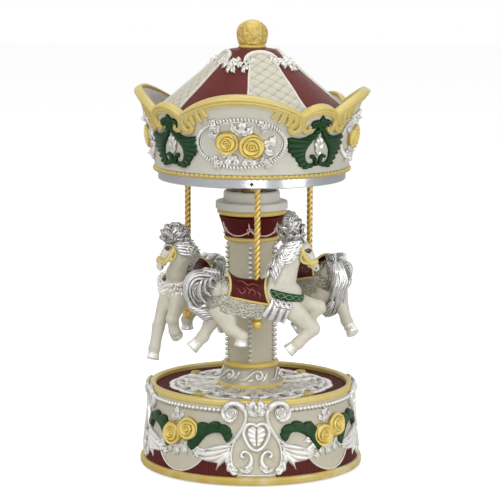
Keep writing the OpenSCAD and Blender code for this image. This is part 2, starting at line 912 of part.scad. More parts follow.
module pinned_cylinder() {
    tracks = comb_teeth;
    color(brass)
    translate([0, 0, cylinder_z])
        rotate([0, 90, 0]) {
            translate([0, 0, cylinder_x])
                cylinder(r = cylinder_r, h = cylinder_l, $fn = 64);
            translate([0, 0, pinion_x])
                cylinder(r = axle_r, h = cylinder_x + cylinder_l + 2.2 - pinion_x, $fn = 32);
            translate([0, 0, pinion_x])
                linear_extrude(2.2)
                    gear_outline(cylinder_pinion_teeth, 2 * cylinder_pitch_r / cylinder_pinion_teeth);
            for (i = [0:tracks - 1], k = [0:2])
                translate([0, 0, comb_x + comb_pitch * (i + 0.5)])
                    rotate([0, 0, 137.5 * i + 109 * k])
                        rotate([0, 90, 0])
                            cylinder(r = 0.2, h = cylinder_r + 0.45, $fn = 16);
        }
}

module governor_wheel() {
    color(brass)
    translate([0, governor_y, 0]) {
        translate([0, 0, bed_z + 0.2])
            cylinder(r = axle_r, h = wheel_z + wheel_t + 2 - bed_z, $fn = 32);
        translate([0, 0, wheel_z - 0.2])
            linear_extrude(wheel_t + 0.4)
                rotate(180 / wheel_pinion_teeth + 90)
                    gear_outline(wheel_pinion_teeth, gear_module);
        translate([0, 0, worm_wheel_z])
            linear_extrude(1)
                gear_outline(worm_wheel_teeth, 2 * (worm_wheel_r - 0.35) / (worm_wheel_teeth + 0.1));
    }
}

module governor_fly() {
    color(steel)
    translate([0, worm_y, worm_z])
        rotate([0, 90, 0]) {
            translate([0, 0, -18.9])
                cylinder(r = axle_r, h = 25.8, $fn = 32);
            rotate_extrude($fn = 48)
                polygon(concat([[0, 3.9], [0, -4]],
                    [for (i = [0:7]) for (p = [[worm_r - 0.35, 0.05], [worm_r, 0.3], [worm_r, 0.6], [worm_r - 0.35, 0.85]])
                        [p[0], -4 + i + p[1]]]));
            translate([-4, -0.3, fly_x - 3])
                cube([8, 0.6, 6]);
            translate([-0.3, -4, fly_x - 3])
                cube([0.6, 8, 6]);
        }
}

module winding_arbor() {
    color(steel) {
        translate([0, 0, key_z + 1])
            cylinder(r = arbor_r, h = housing_top - 1 - key_z - 1, $fn = 48);
        translate([0, 0, housing_z + 1.1])
            cylinder(r = arbor_r + 0.7, h = housing_h - 2.3, $fn = 48);
        translate([0, 0, ratchet_z])
            linear_extrude(1.2)
                polygon([for (i = [0:11], p = [[ratchet_r, 0], [ratchet_r - 0.9, 0.06]])
                    [p[0] * cos(30 * (i + p[1])), p[0] * sin(30 * (i + p[1]))]]);
    }
}

module winding_key() {
    ear = key_span / 2 - 0.4;
    color(silver)
    difference() {
        union() {
            translate([0, 0, key_z])
                cylinder(r = arbor_r + 1.3, h = key_h, $fn = 48);
            translate([0, key_t / 2, 0])
                rotate([90, 0, 0])
                    linear_extrude(key_t)
                        for (s = [-1, 1])
                            difference() {
                                translate([s * (key_span - ear), key_z + key_h / 2])
                                    oval(ear, key_h / 2);
                                translate([s * (key_span - ear + 0.6), key_z + key_h / 2])
                                    circle(r = 1.5, $fn = 32);
                            }
        }
        translate([0, 0, key_z + 0.8])
            cylinder(r = arbor_r + seat, h = key_h, $fn = 48);
    }
}

module drive_shaft() {
    color(steel)
    translate([0, 0, housing_top - 0.7])
        cylinder(r = shaft_r, h = cap_z + 2.4 - housing_top + 0.7, $fn = 48);
}

// ---------- canopy ----------

module canopy_floor() {
    color(silver)
    difference() {
        translate([0, 0, floor_z])
            rotate_extrude($fn = 128)
                polygon([[0, 0], [floor_r - 0.4, 0], [floor_r, 0.4], [floor_r, floor_t], [0, floor_t]]);
        translate([0, 0, floor_z - 1])
            cylinder(r = tube_hole_r, h = floor_t + 2, $fn = 96);
        for (a = pole_az)
            rotate([0, 0, a])
                translate([0, -pole_ring_r, floor_z - 1])
                    cylinder(r = pole_r + run, h = floor_t + 2, $fn = 48);
    }
}

module crown_bead_ring() {
    z = floor_top - 0.1 + bead_ring_h / 2;
    color(gold)
    rotate_extrude($fn = 128)
        intersection() {
            translate([crown_r0 - 0.25, z])
                circle(r = bead_ring_h / 2, $fn = 24);
            translate([crown_foot_r + seat, floor_top - 0.1])
                square([4, bead_ring_h]);
        }
}

// what lies under the eight arches
module arch_room(drop) {
    big = arch_radius(27.2, crown_top - valley_z);
    small = arch_radius(10, small_arch_z - valley_z);
    for (k = [0:3]) {
        radial(crown_turn + 90 * k, 30, 60)
            translate([0, crown_top - big - drop])
                circle(r = big, $fn = 96);
        radial(crown_turn + 45 + 90 * k, 30, 60)
            translate([0, small_arch_z - small - drop])
                circle(r = small, $fn = 96);
    }
}

// radius of the arc with the given half chord and rise
function arch_radius(half, rise) = (half * half + rise * rise) / (2 * rise);

module crown_shell() {
    color(cream) {
        rotate_extrude($fn = 128)
            polygon(concat(
                [[crown_r0 - crown_wall, floor_top], [crown_foot_r, floor_top], [crown_foot_r, crown_z]],
                crown_edge(crown_z, valley_z - edging_cap, 6, 0),
                reversed(crown_edge(roof_z, valley_z - edging_cap, 2, -crown_wall)),
                [[roof_r - 3.4, roof_z], [roof_r - 3.4, roof_z - 1.2]],
                reversed(crown_edge(crown_z, roof_z - 3.4, 4, -crown_wall))));
        intersection() {
            crown_skin(valley_z - edging_cap, crown_top, -crown_wall, 0, 2);
            arch_room(edging_cap);
        }
    }
}

// the gold moulding along the arches: a band outside, with a cap over the wall's top and volutes below
module crown_edging() {
    color(gold)
    difference() {
        intersection() {
            crown_skin(valley_z - volute_reach, crown_top, -crown_wall, relief, 4);
            union() {
                difference() {
                    arch_room(0);
                    arch_room(edging_w);
                }
                for (k = [0:3], s = [-1, 1])
                    radial(crown_turn + 90 * k + 31 * s, 30, 60)
                        volute(s);
            }
        }
        intersection() {
            crown_skin(valley_z - volute_reach - 1, crown_top + 1, -crown_wall - 1, seat, 6);
            arch_room(edging_cap);
        }
    }
}

// one acanthus lyre, drawn flat with its foot at the origin
module lyre() {
    for (s = [0, 1])
        mirror([s, 0]) {
            translate([4, 8.6])
                scroll(8.4, 4.4, -110, 45, 2.8);
            translate([12.6, 12.4])
                scroll(3.4, 2.6, 150, -60, 1.6);
            translate([4.2, 17.6])
                scroll(4.4, 3.4, 10, 150, 1.7);
            translate([4.6, 1.8])
                scroll(3, 2, 180, -20, 1.2);
        }
    translate([0, 20.5])
        circle(r = 2.3, $fn = 24);
}

module crown_leaves() {
    color(green)
    intersection() {
        crown_skin(crown_z + 2, valley_z + 1.5, seat, relief, 3);
        difference() {
            for (k = [0:3])
                radial(crown_turn + 45 + 90 * k, 30, 60)
                    translate([0, lyre_z])
                        lyre();
            for (k = [0:3])
                radial(crown_turn + 90 * k, 30, 60)
                    translate([0, medal_z])
                        oval(medal_a + pass, medal_b + pass);
            edging_room();
        }
    }
}

// what the gold edging and its volutes take from the crown's outside
module edging_room() {
    difference() {
        tube(90, 30, valley_z - edging_w - 12, crown_top + 20);
        arch_room(edging_w + seat);
    }
    for (k = [0:3], s = [-1, 1])
        radial(crown_turn + 90 * k + 31 * s, 30, 60)
            volute(s);
}

// the volute that closes the edging where two arches meet
module volute(s) {
    translate([0, valley_z - 5.5])
        circle(r = 2.4, $fn = 32);
    translate([-s * 1.6, valley_z - 3])
        circle(r = 2, $fn = 32);
}

module crown_rose(s) {
    lean = asin((medal_z - crown_z) / flare_arc);
    facing_out(crown_turn + 7 * s, crown_r(medal_z) + 0.35, medal_z - 0.4 * s, lean)
        rose(5.3);
}

module crown_roses() {
    color(gold)
    for (k = [0:3], s = [-1, 1])
        rotate([0, 0, 90 * k])
            crown_rose(s);
}

module crown_medallions() {
    color(silver)
    intersection() {
        crown_skin(crown_z + 1, valley_z, seat, relief, 3);
        difference() {
            for (k = [0:3])
                radial(crown_turn + 90 * k, 30, 60)
                    translate([0, medal_z])
                        medallion();
            for (k = [0:3], s = [-1, 1])
                facing_out(crown_turn + 90 * k + 7 * s, 30, medal_z - 0.4 * s)
                    cylinder(r = 5.5, h = 30, $fn = 48);
        }
    }
}

// the oval rope with its sprays, drawn flat about its middle
module medallion() {
    difference() {
        oval(medal_a, medal_b);
        oval(medal_a - medal_rope, medal_b - medal_rope);
    }
    for (sx = [-1, 1], sy = [-1, 1])
        translate([10.5 * sx, 8.6 * sy])
            circle(r = 2.4, $fn = 24);
    for (s = [-1, 1])
        translate([11 * s, 0])
            rotate(90 - 90 * s)
                frond(6, 2.2, -40, 40, 3);
}

// ---------- roof ----------

// a wedge of the roof cone, w degrees wide from azimuth a, between two radii
module roof_wedge(a, w, r0, r1, d0, d1) {
    rotate([0, 0, a - 90])
        rotate_extrude(angle = w, $fn = 128)
            polygon([[r0, roof_line(r0) + d0], [r1, max(roof_line(r1) + d0, roof_z)], [r1, roof_line(r1) + d1],
                [r0, roof_line(r0) + d1]]);
}

// the upright edge under a wedge that stands on the crown's ledge
module roof_foot(a, w) {
    rotate([0, 0, a - 90])
        rotate_extrude(angle = w, $fn = 128)
            polygon([[roof_r - 3, roof_z], [roof_r, roof_z], [roof_r, roof_line(roof_r)],
                [roof_r - 3, roof_line(roof_r - 3) - 0.5]]);
}

module roof_burgundy() {
    color(burgundy) {
        rotate_extrude($fn = 128)
            polygon([[lattice_top_r, roof_line(lattice_top_r)], [roof_top_r, roof_top_z], [cap_r, cap_z],
                [shaft_r + seat, cap_z], [shaft_r + seat, roof_top_z - 2], [roof_top_r - 1, roof_top_z - 2],
                [lattice_top_r, roof_line(lattice_top_r) - roof_t]]);
        for (k = [0:3]) {
            roof_wedge(roof_turn + lattice_w / 2 + 90 * k, 90 - lattice_w, lattice_top_r - 0.1, roof_r, -roof_t, 0);
            roof_foot(roof_turn + lattice_w / 2 + 90 * k, 90 - lattice_w);
        }
    }
}

module roof_lattice() {
    a0 = roof_turn - lattice_w / 2 + 0.1;
    color(cream)
    for (k = [0:3]) {
        roof_wedge(a0 + 90 * k, lattice_w - 0.2, lattice_top_r + seat, roof_r, -roof_t, 0);
        roof_foot(a0 + 90 * k, lattice_w - 0.2);
    }
}

module roof_ornaments() {
    color(silver)
    intersection() {
        roof_wedge(0, 360, roof_top_r + 1, roof_r - 8, seat, 1.1);
        for (k = [0:3])
            rotate([0, 0, roof_turn + 45 + 90 * k - 90])
                translate([roof_top_r + 6, 0, roof_z])
                    linear_extrude(40) {
                        frond(9, 3.4, -50, 50, 5);
                        translate([0.5, 0])
                            circle(r = 2.6, $fn = 24);
                    }
    }
}

module finial() {
    nut_room = 2.8;
    color(gold)
    rotate_extrude($fn = 64)
        polygon([[nut_r + 0.7, cap_z], [6.2, cap_z], [6.2, cap_z + 1.2], [5.4, cap_z + 1.5], [5.4, cap_z + 2.2],
            [6.2, cap_z + 3.6], [6.7, cap_z + finial_h / 2], [6.2, cap_z + finial_h - 3.4],
            [4.6, cap_z + finial_h - 1.1], [2.2, cap_z + finial_h - 0.2], [0, cap_z + finial_h],
            [0, cap_z + nut_room], [nut_r + 0.7, cap_z + nut_room]]);
}

module canopy_hub() {
    color(brass) {
        tube(hub_r, shaft_r + seat, hub_z, hub_z + hub_h);
        translate([0, 0, cap_z])
            difference() {
                cylinder(r = nut_r, h = 2, $fn = 6);
                translate([0, 0, -1])
                    cylinder(r = shaft_r + seat, h = 4, $fn = 48);
            }
    }
}

// ---------- horses ----------
// A horse is drawn about its pole: x forward, -y outward, z = 0 at the top of the seat.

// a rounded limb through points of the form [x, y, z, radius]
module limb(p, sides = 10) {
    for (i = [0:len(p) - 2])
        hull() {
            translate([p[i][0], p[i][1], p[i][2]])
                sphere(r = p[i][3], $fn = sides);
            translate([p[i + 1][0], p[i + 1][1], p[i + 1][2]])
                sphere(r = p[i + 1][3], $fn = sides);
        }
}

torso = [[-13.5, 0, -6, 6.2], [-6, 0, -7.6, 5.6], [3, 0, -8, 5.6], [11.5, 0, -6.4, 6.4]];
neck = [[12, 0, -2, 5.6], [14.5, 0, 8, 4.4], [17.5, 0, 15.5, 3.2]];
head = [[17.8, 0, 15.8, 3.1], [21.5, 0, 11.5, 3], [25.6, 0, 6, 1.9]];
ear = [[17.2, 1.6, 18.2, 0.9], [17.7, 2, 21, 0.4]];
// each horse's legs: outer fore, inner fore, outer hind, inner hind
fore_bent_out = [[12.5, -3, -10, 3.7], [24.3, -4, -20.8, 2.3], [17.5, -4, -27.2, 1.6], [13.2, -4, -30.6, 2.1]];
fore_bent_in = [[13.5, 3, -9.5, 3.5], [27.6, 3.5, -12.6, 2.1], [22, 3.5, -18.6, 1.5], [16.6, 3, -22, 1.9]];
fore_long_out = [[13, -3, -9, 3.7], [20.5, -4.2, -22, 2.2], [24, -4.6, -32, 1.6], [25.5, -4.6, -36.4, 2.1]];
fore_short_in = [[13.5, 3, -9.5, 3.5], [22, 3.5, -18, 2.2], [20, 3.5, -24, 1.5], [17.5, 3.5, -26.6, 1.9]];
hind_tuck_out = [[-16, -3, -10, 4.6], [-12, -4, -20.3, 2.4], [-7, -4, -23.7, 1.6], [-7.4, -4, -28, 2]];
hind_push_in = [[-15.5, 3, -10, 4.6], [-20.5, 3.8, -20, 2.4], [-23.4, 4, -25.4, 1.6], [-28.3, 4, -30.4, 2]];
legs = [[fore_bent_out, fore_bent_in, hind_tuck_out, hind_push_in],
    [fore_long_out, fore_short_in, hind_tuck_out, hind_push_in],
    [fore_bent_out, fore_bent_in, hind_push_in, hind_tuck_out]];

module horse_body(i) {
    limb(torso);
    limb(neck);
    limb(head);
    for (s = [0, 1])
        mirror([0, s, 0])
            limb(ear);
    for (leg = legs[i])
        limb(leg);
}

// puts children at horse i's pole, facing the way it travels
module at_pole(i) {
    rotate([0, 0, pole_az[i]])
        translate([0, -pole_ring_r, seat_z(i)])
            children();
}

module pole_room() {
    translate([0, 0, -60])
        cylinder(r = pole_r + seat, h = 120, $fn = 24);
}

module horse(i) {
    color(cream)
    at_pole(i)
        difference() {
            horse_body(i);
            pole_room();
        }
}

module saddle(i) {
    grow = 1.1;
    color(burgundy)
    at_pole(i)
        difference() {
            union() {
                intersection() {
                    limb([for (p = torso) [p[0], p[1], p[2], p[3] + grow]]);
                    translate([-13.6, -10, -10.5])
                        cube([18.1, 20, 14]);
                }
                limb([[4, -2.6, 0.4, 1.1], [4.4, 0, 1.6, 1.3], [4, 2.6, 0.4, 1.1]]);
                limb([[-13.4, -3, 0.4, 1.2], [-13.6, 0, 1.7, 1.4], [-13.4, 3, 0.4, 1.2]]);
            }
            horse_body(i);
            pole_room();
        }
}

mane_curls = [[[16.5, 0, 19, 3.6], [14.8, 0, 26, 3.2]], [[19.5, -1, 19.6, 2.4], [20.5, -1, 16.8, 1.8]],
    [[12.5, 0, 18, 3.8], [9, -1, 12, 3.2]], [[9.5, 0, 11, 3.6], [6, -1, 8.4, 2]],
    [[9, 0, 5.4, 3], [7.4, -1.4, 3.6, 1.8]], [[11, -3, 14, 2.8], [10.4, -4, 4, 2]],
    [[11, 3, 14, 2.8], [10.4, 4, 4, 2]]];
tail = [[-18, 0, 0.6, 2.6], [-24, 0, 3.4, 3], [-29, 0, -3, 3.5], [-28, 0, -11, 3], [-24, 0, -14.5, 2]];

module mane(i) {
    color(silver)
    at_pole(i)
        difference() {
            union() {
                for (curl = mane_curls)
                    limb(curl, 8);
                limb(tail, 8);
            }
            horse_body(i);
        }
}

module pole(i) {
    lift_now = lift + rest_lift(i);
    color(gold)
    rotate([0, 0, pole_az[i]])
        translate([0, -pole_ring_r, 0]) {
            translate([0, 0, seat_z(i) - ball_drop])
                cylinder(r = pole_r, h = pole_top_z - lift + lift_now - seat_z(i) + ball_drop, $fn = 32);
            translate([0, 0, seat_z(i) - ball_drop])
                sphere(r = ball_r, $fn = 32);
            translate([0, 0, collar_low_z + lift_now])
                cylinder(r = pole_collar_r, h = pole_collar_h, $fn = 32);
            translate([0, 0, cam_z + rest_lift(i) + 0.8])
                rotate([-90, 0, 0])
                    cylinder(r = 0.8, h = pole_ring_r - track_r - pass, $fn = 24);
        }
}

base_shell();
base_foot_band();
deck_rim();
deck_inlay();
deck_acanthus();
base_bead_string();
base_scrollwork();
base_lower_panels();
base_roses();
base_leaves();
bottom_cover();
screws();
rubber_feet();
column_tube();
column_foot();
column_rings();
column_shaft();
column_beads();
capital();
capital_swags();
column_collar();
shaft_bearings();
cam_ring();
movement_bedplate();
movement_brackets();
click_spring();
comb();
canopy_floor();
crown_bead_ring();
crown_shell();
crown_edging();
crown_leaves();
crown_roses();
crown_medallions();
roof_burgundy();
roof_lattice();
roof_ornaments();
finial();
canopy_hub();
drive_shaft();
spring_housing();
mainspring();
great_wheel();
winding_key();
winding_arbor();
pinned_cylinder();
governor_wheel();
governor_fly();
horse(0);  // horse_1
horse(1);  // horse_2
horse(2);  // horse_3
saddle(0);  // saddle_1
saddle(1);  // saddle_2
saddle(2);  // saddle_3
mane(0);  // mane_1
mane(1);  // mane_2
mane(2);  // mane_3
pole(0);  // pole_1
pole(1);  // pole_2
pole(2);  // pole_3
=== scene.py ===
"""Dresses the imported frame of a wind-up carousel music box: cast ornament, horses, roof, paint and metal."""

import logging
import math
from collections.abc import Callable, Mapping, Sequence
from dataclasses import dataclass
from enum import Enum

import bpy
import numpy as np
from mathutils import Matrix, Vector


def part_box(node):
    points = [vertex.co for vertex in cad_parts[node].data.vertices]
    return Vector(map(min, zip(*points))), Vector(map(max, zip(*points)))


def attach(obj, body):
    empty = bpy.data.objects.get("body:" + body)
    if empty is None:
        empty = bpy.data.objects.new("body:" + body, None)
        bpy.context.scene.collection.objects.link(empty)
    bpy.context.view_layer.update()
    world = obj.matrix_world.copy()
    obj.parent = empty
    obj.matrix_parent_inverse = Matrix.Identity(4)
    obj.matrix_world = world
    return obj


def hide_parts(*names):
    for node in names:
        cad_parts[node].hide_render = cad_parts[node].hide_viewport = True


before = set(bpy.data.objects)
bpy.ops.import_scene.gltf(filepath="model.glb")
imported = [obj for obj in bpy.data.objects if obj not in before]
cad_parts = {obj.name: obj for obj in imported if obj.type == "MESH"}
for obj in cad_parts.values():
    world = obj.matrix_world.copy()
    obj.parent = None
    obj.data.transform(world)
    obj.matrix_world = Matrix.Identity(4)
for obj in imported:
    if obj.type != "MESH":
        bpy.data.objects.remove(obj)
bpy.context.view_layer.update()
MM = 0.001
LOG = logging.getLogger("music_box")
Array = np.ndarray
SINK = 0.3  # how far ornament reaches into its ground


# ---------------------------------------------------------------- shapes


def steps_round(count: int) -> Array:
    """Angles of equal steps round a circle, as one row."""
    return (np.arange(count) * 2 * np.pi / count)[None, :]


def round_axis(radius: Array | float, azimuth: Array | float, height: Array | float) -> Array:
    """Places points round the column's axis.

    Args:
        radius: Distance from the axis.
        azimuth: Angle in radians from the front towards the right.
        height: Height.

    Returns:
        The points; the three shapes are broadcast together.
    """
    return np.stack(np.broadcast_arrays(radius * np.sin(azimuth), -radius * np.cos(azimuth), height), axis=-1)


def profile(count: int, at: Sequence[float], values: Sequence[float]) -> Array:
    """Values at even steps from 0 to 1, joined by straight lines between the places given."""
    return np.interp(np.linspace(0, 1, count), at, values)


def spline(points: Sequence[Sequence[float]], count: int) -> Array:
    """Carries a smooth line through control points.

    Each stretch is the Catmull-Rom cubic of its four nearest points, with the parameter spread by chord length.

    Args:
        points: Control points, any number of columns.
        count: Rows wanted.

    Returns:
        The (count, columns) rows of the line.
    """
    p = np.asarray(points, float)
    ends = np.vstack([2 * p[0] - p[1], p, 2 * p[-1] - p[-2]])
    chord = np.sqrt(np.maximum(np.linalg.norm(np.diff(p, axis=0), axis=1), 1e-9))
    knots = np.concatenate([[0.0], np.cumsum(chord)])
    t = np.linspace(0, knots[-1], count)
    k = np.clip(np.searchsorted(knots, t, side="right") - 1, 0, len(p) - 2)
    u = ((t - knots[k]) / chord[k])[:, None]
    a, b, c, d = ends[k], ends[k + 1], ends[k + 2], ends[k + 3]
    return 0.5 * (2 * b + (c - a) * u + (2 * a - 5 * b + 4 * c - d) * u**2 + (3 * b - a - 3 * c + d) * u**3)


def curl(centre: tuple[float, float], r0: float, r1: float, a0: float, a1: float, count: int = 26) -> Array:
    """A flat spiral: the radius goes from r0 to r1 as the angle goes from a0 to a1 degrees.

    Args:
        centre: The spiral's middle.
        r0: First radius.
        r1: Last radius.
        a0: First angle.
        a1: Last angle.
        count: Rows wanted.

    Returns:
        The (count, 2) points.
    """
    t = np.linspace(0, 1, count)
    a = np.radians(a0 + (a1 - a0) * t)
    r = r0 + (r1 - r0) * t
    return np.stack([centre[0] + r * np.cos(a), centre[1] + r * np.sin(a)], axis=1)


def swell(count: int, start: float, middle: float, end: float, peak: float = 0.5) -> Array:
    """Half-widths that rise from start to middle and fall to end, by half cosines.

    Args:
        count: Rows wanted.
        start: First half-width.
        middle: Half-width at the peak.
        end: Last half-width.
        peak: Place of the peak as a share of the way.

    Returns:
        The half-widths.
    """
    t = np.linspace(0, 1, count)
    rise = start + (middle - start) * 0.5 * (1 - np.cos(np.pi * np.clip(t / peak, 0, 1)))
    fall = end + (middle - end) * 0.5 * (1 + np.cos(np.pi * np.clip((t - peak) / (1 - peak), 0, 1)))
    return np.where(t < peak, rise, fall)


@dataclass
class Relief:
    """A closed grid drawn flat: x across, y up, and lift off the ground, with how much of the dark wash and painted
    shade each point takes, mostly by how deep in a recess it lies.
    """

    points: Array
    recess: Array

    def mirrored(self) -> "Relief":
        """The same relief turned over left to right."""
        return Relief(self.points * np.array([-1.0, 1.0, 1.0]), self.recess)

    def moved(self, x: float, y: float, turn: float = 0.0) -> "Relief":
        """The relief turned and moved in its own plane.

        Args:
            x: Move across.
            y: Move up.
            turn: Turn in degrees.

        Returns:
            The moved relief.
        """
        c, s = math.cos(math.radians(turn)), math.sin(math.radians(turn))
        p = self.points
        q = np.stack([x + c * p[..., 0] - s * p[..., 1], y + s * p[..., 0] + c * p[..., 1], p[..., 2]], axis=-1)
        return Relief(q, self.recess)


def flat_frame(path: Array) -> tuple[Array, Array]:
    """Unit tangents and left-hand normals of a flat path.

    Args:
        path: The (n, 2) points.

    Returns:
        Both, a row for each point.
    """
    t = np.gradient(path, axis=0)
    t /= np.maximum(np.linalg.norm(t, axis=1, keepdims=True), 1e-9)
    return t, np.stack([-t[:, 1], t[:, 0]], axis=1)


def cord(path: Array, half: Array | float, lift: float, sides: int = 12, sink: float = SINK, ribs: int = 0,
         rib: float = 0.2) -> Relief:
    """A rounded strap laid along a flat path.

    Its section is half an ellipse on top, half wide and lift high, closed below by a shallow one; ribs cut cosine
    grooves along its top.

    Args:
        path: The (n, 2) middle line.
        half: Half-width, one value or one per row.
        lift: Height above the ground.
        sides: Points round the section.
        sink: Depth below the ground.
        ribs: Grooves across the top.
        rib: Depth of the grooves as a share of the lift.

    Returns:
        The relief.
    """
    n = len(path)
    half = np.broadcast_to(half, (n,))[:, None]
    a = steps_round(sides)
    _, normal = flat_frame(path)
    up = np.sin(a)
    groove = 1 - rib * 0.5 * (1 + np.cos(np.pi * (2 * ribs * (np.cos(a) + 1) / 2))) if ribs else 1.0
    low = np.minimum(1.0, half / max(float(half.max()), 1e-6) * 1.6)
    h = np.where(up > 0, lift * up * groove * low, sink * up)
    across = half * np.cos(a)
    xy = path[:, None, :] + normal[:, None, :] * across[..., None]
    # Painted shade: the strap darkens from its crown down to where it meets the ground, and with ribs also in the
    # grooves.
    recess = np.clip(1.15 - 1.25 * np.maximum(up, 0), 0, 1) * np.ones((n, 1))
    if ribs:
        recess = np.maximum(recess, 0.5 * (1 + np.cos(2 * np.pi * ribs * (np.cos(a) + 1) / 2)) * np.ones((n, 1)) * 0.7)
    return Relief(np.concatenate([xy, h[..., None]], axis=2), recess)


def leaf(path: Array, width: float, lift: float, lobes: int = 4, depth: float = 0.35, lean: float = 0.45,
         sides: int = 16, stem: float = 0.25) -> Relief:
    """An acanthus leaf laid along a flat path.

    Its half-width is a sine swell from stem to tip, broken into lobes by a cosine whose points lean towards the tip;
    its height falls from a grooved midrib and dips between lobes.

    Args:
        path: The (n, 2) midrib.
        width: Largest half-width.
        lift: Height above the ground.
        lobes: Lobes on each side.
        depth: How far the lobes are cut in, from 0 to 1.
        lean: How far each lobe's point runs ahead along the midrib, in half-widths.
        sides: Points round the section.
        stem: Width at the foot against the largest.

    Returns:
        The relief.
    """
    n = len(path)
    t = np.linspace(0, 1, n)[:, None]
    a = steps_round(sides)
    tangent, normal = flat_frame(path)
    swell_line = np.maximum(np.sin(np.pi * np.clip(t, 0, 1) ** 0.75), 0) ** 0.8
    body = np.maximum(swell_line, stem * (1 - t) ** 2)
    saw = 0.5 + 0.5 * np.cos(2 * np.pi * (lobes * t - 0.25 * np.abs(np.cos(a))))
    cut = 1 - depth * (1 - saw) * np.sqrt(swell_line)
    half = width * body * cut
    up = np.sin(a)
    edge = np.abs(np.cos(a))
    midrib = np.exp(-((np.cos(a) / 0.16) ** 2))
    top = lift * np.maximum(up, 0) ** 0.7 * (1 - 0.45 * midrib) * (0.72 + 0.28 * saw) * np.clip(body * 2.2, 0.15, 1)
    h = np.where(up > 0, top, SINK * up)
    shift = tangent[:, None, :] * (lean * half * edge**2)[..., None]
    xy = path[:, None, :] + normal[:, None, :] * (half * np.cos(a))[..., None] + shift
    # Painted shade in the midrib's groove, between the lobes and down the sides to the ground.
    recess = np.clip(0.75 * midrib + 0.8 * (1 - saw) * edge + np.clip(1 - 1.6 * np.maximum(up, 0), 0, 1), 0, 1)
    return Relief(np.concatenate([xy, h[..., None]], axis=2), recess)


def fan(inner: Sequence[Sequence[float]], outer: Sequence[Sequence[float]], ribs: int, lift: float,
        scallop: float = 0.6, rows: int = 72, cols: int = 9, crease: float = 0.45) -> Relief:
    """A pleated leaf between two lines.

    The surface is ruled from the inner line to the outer one. Its outer edge swings out and in by the root of an
    absolute sine, its height dips in creases that run between those scallops and fade towards the inner line, and
    both edges round down to the ground.

    Args:
        inner: Control points of the inner line.
        outer: Control points of the outer line, from the same end.
        ribs: Number of pleats.
        lift: Height above the ground.
        scallop: How far the pleats' ends swing.
        rows: Rows along the lines.
        cols: Points from line to line.
        crease: Depth of the creases as a share of the lift.

    Returns:
        The relief.
    """
    near, far = spline(inner, rows)[:, None], spline(outer, rows)[:, None]
    t = np.linspace(0, 1, rows)[:, None]
    v = np.linspace(0, 1, cols)[None, :]
    pleat = np.abs(np.sin(np.pi * ribs * t))
    across = far - near
    size = np.maximum(np.linalg.norm(across, axis=2, keepdims=True), 1e-6)
    swing = scallop * (pleat**0.5 - 0.75) * np.sin(np.pi * np.clip(t, 0.02, 0.98)) ** 0.3
    far = far + across / size * swing[..., None]
    xy = near + (far - near) * v[..., None]
    edge = np.clip(v / 0.14, 0, 1) ** 0.6 * np.clip((1 - v) / 0.12, 0, 1) ** 0.6
    ends = np.clip(np.sin(np.pi * t) * 6, 0.25, 1)
    fold = (1 - pleat**0.7) * v**0.5
    h = lift * edge * ends * (1 - crease * fold) - 0.05
    under = np.stack([near + (far - near) * 0.97, near + (far - near) * 0.03], axis=1)[:, :, 0]
    low = np.concatenate([under, np.full((rows, 2, 1), -SINK)], axis=2)
    top = np.concatenate([xy, h[..., None]], axis=2)
    # Painted shade in the creases and along both edges; the ground rows are fully dark.
    recess = np.clip(1.2 * fold**1.5 + 0.8 * (1 - edge), 0, 1)
    return Relief(np.concatenate([top, low], axis=1), np.concatenate([recess, np.ones((rows, 2))], axis=1))


def rose(radius: float, lift: float, turn: float = 0.0, rings: int = 34, around: int = 60) -> Relief:
    """An open rose, drawn flat about its middle.

    Its height is a dome with the edges of nested petals on it. Petal k's edge is a thin ridge, a bell curve of the
    distance from a circle that is pushed off centre by a sine of the angle, each petal's the golden angle further
    round; behind each edge the ground drops, and outside the last one the rim rounds down.

    Args:
        radius: Radius over the petals.
        lift: Height of the dome.
        turn: Turn of the petals in degrees.
        rings: Rows from the heart to the rim.
        around: Points round each ring.

    Returns:
        The relief.
    """
    q = np.linspace(0.02, 1, rings)[:, None]
    a = steps_round(around)
    b = a + math.radians(turn)
    r = radius * q * (1 + 0.025 * np.sin(5 * b + 0.7) * np.clip((q - 0.6) / 0.4, 0, 1))
    ridge, groove = 0 * q * a, 0 * q * a
    for k, (ring, push, wide) in enumerate(((0.15, 0.02, 0.035), (0.33, 0.08, 0.04), (0.51, 0.10, 0.045),
                                            (0.71, 0.11, 0.05), (0.91, 0.05, 0.05))):
        off = q - ring - push * np.sin(b - 2.4 * k) - 0.012 * np.sin(3 * b + k)
        ridge = np.maximum(ridge, np.exp(-((off / wide) ** 2)))
        groove = np.maximum(groove, np.exp(-(((off - 1.9 * wide) / (1.1 * wide)) ** 2)))
    dome = np.sqrt(np.maximum(1 - (0.88 * q) ** 2.8, 0))
    fade = np.clip((1.0 - q) / 0.05, 0, 1)
    hole = np.exp(-((q / 0.07) ** 2))
    h = lift * (dome * 0.74 + (0.24 * ridge - 0.18 * groove - 0.16 * hole) * fade)
    # Painted shade in the grooves behind the petal edges, at the rim and in the heart, and painted highlight along the
    # petal ridges, which stay light.
    recess = np.clip(groove * 0.85 + 0.22 * (1 - ridge) + 0.4 * (1 - fade) + hole, 0, 1)
    points = np.stack([r * np.cos(a), r * np.sin(a), h], axis=2)
    low = np.stack([r[-1] * np.cos(a[0]), r[-1] * np.sin(a[0]), np.full(around, -0.4)], axis=1)
    recess = np.vstack([recess * np.ones((rings, around)), np.ones((1, around))])
    return Relief(np.concatenate([points, low[None]]), recess)


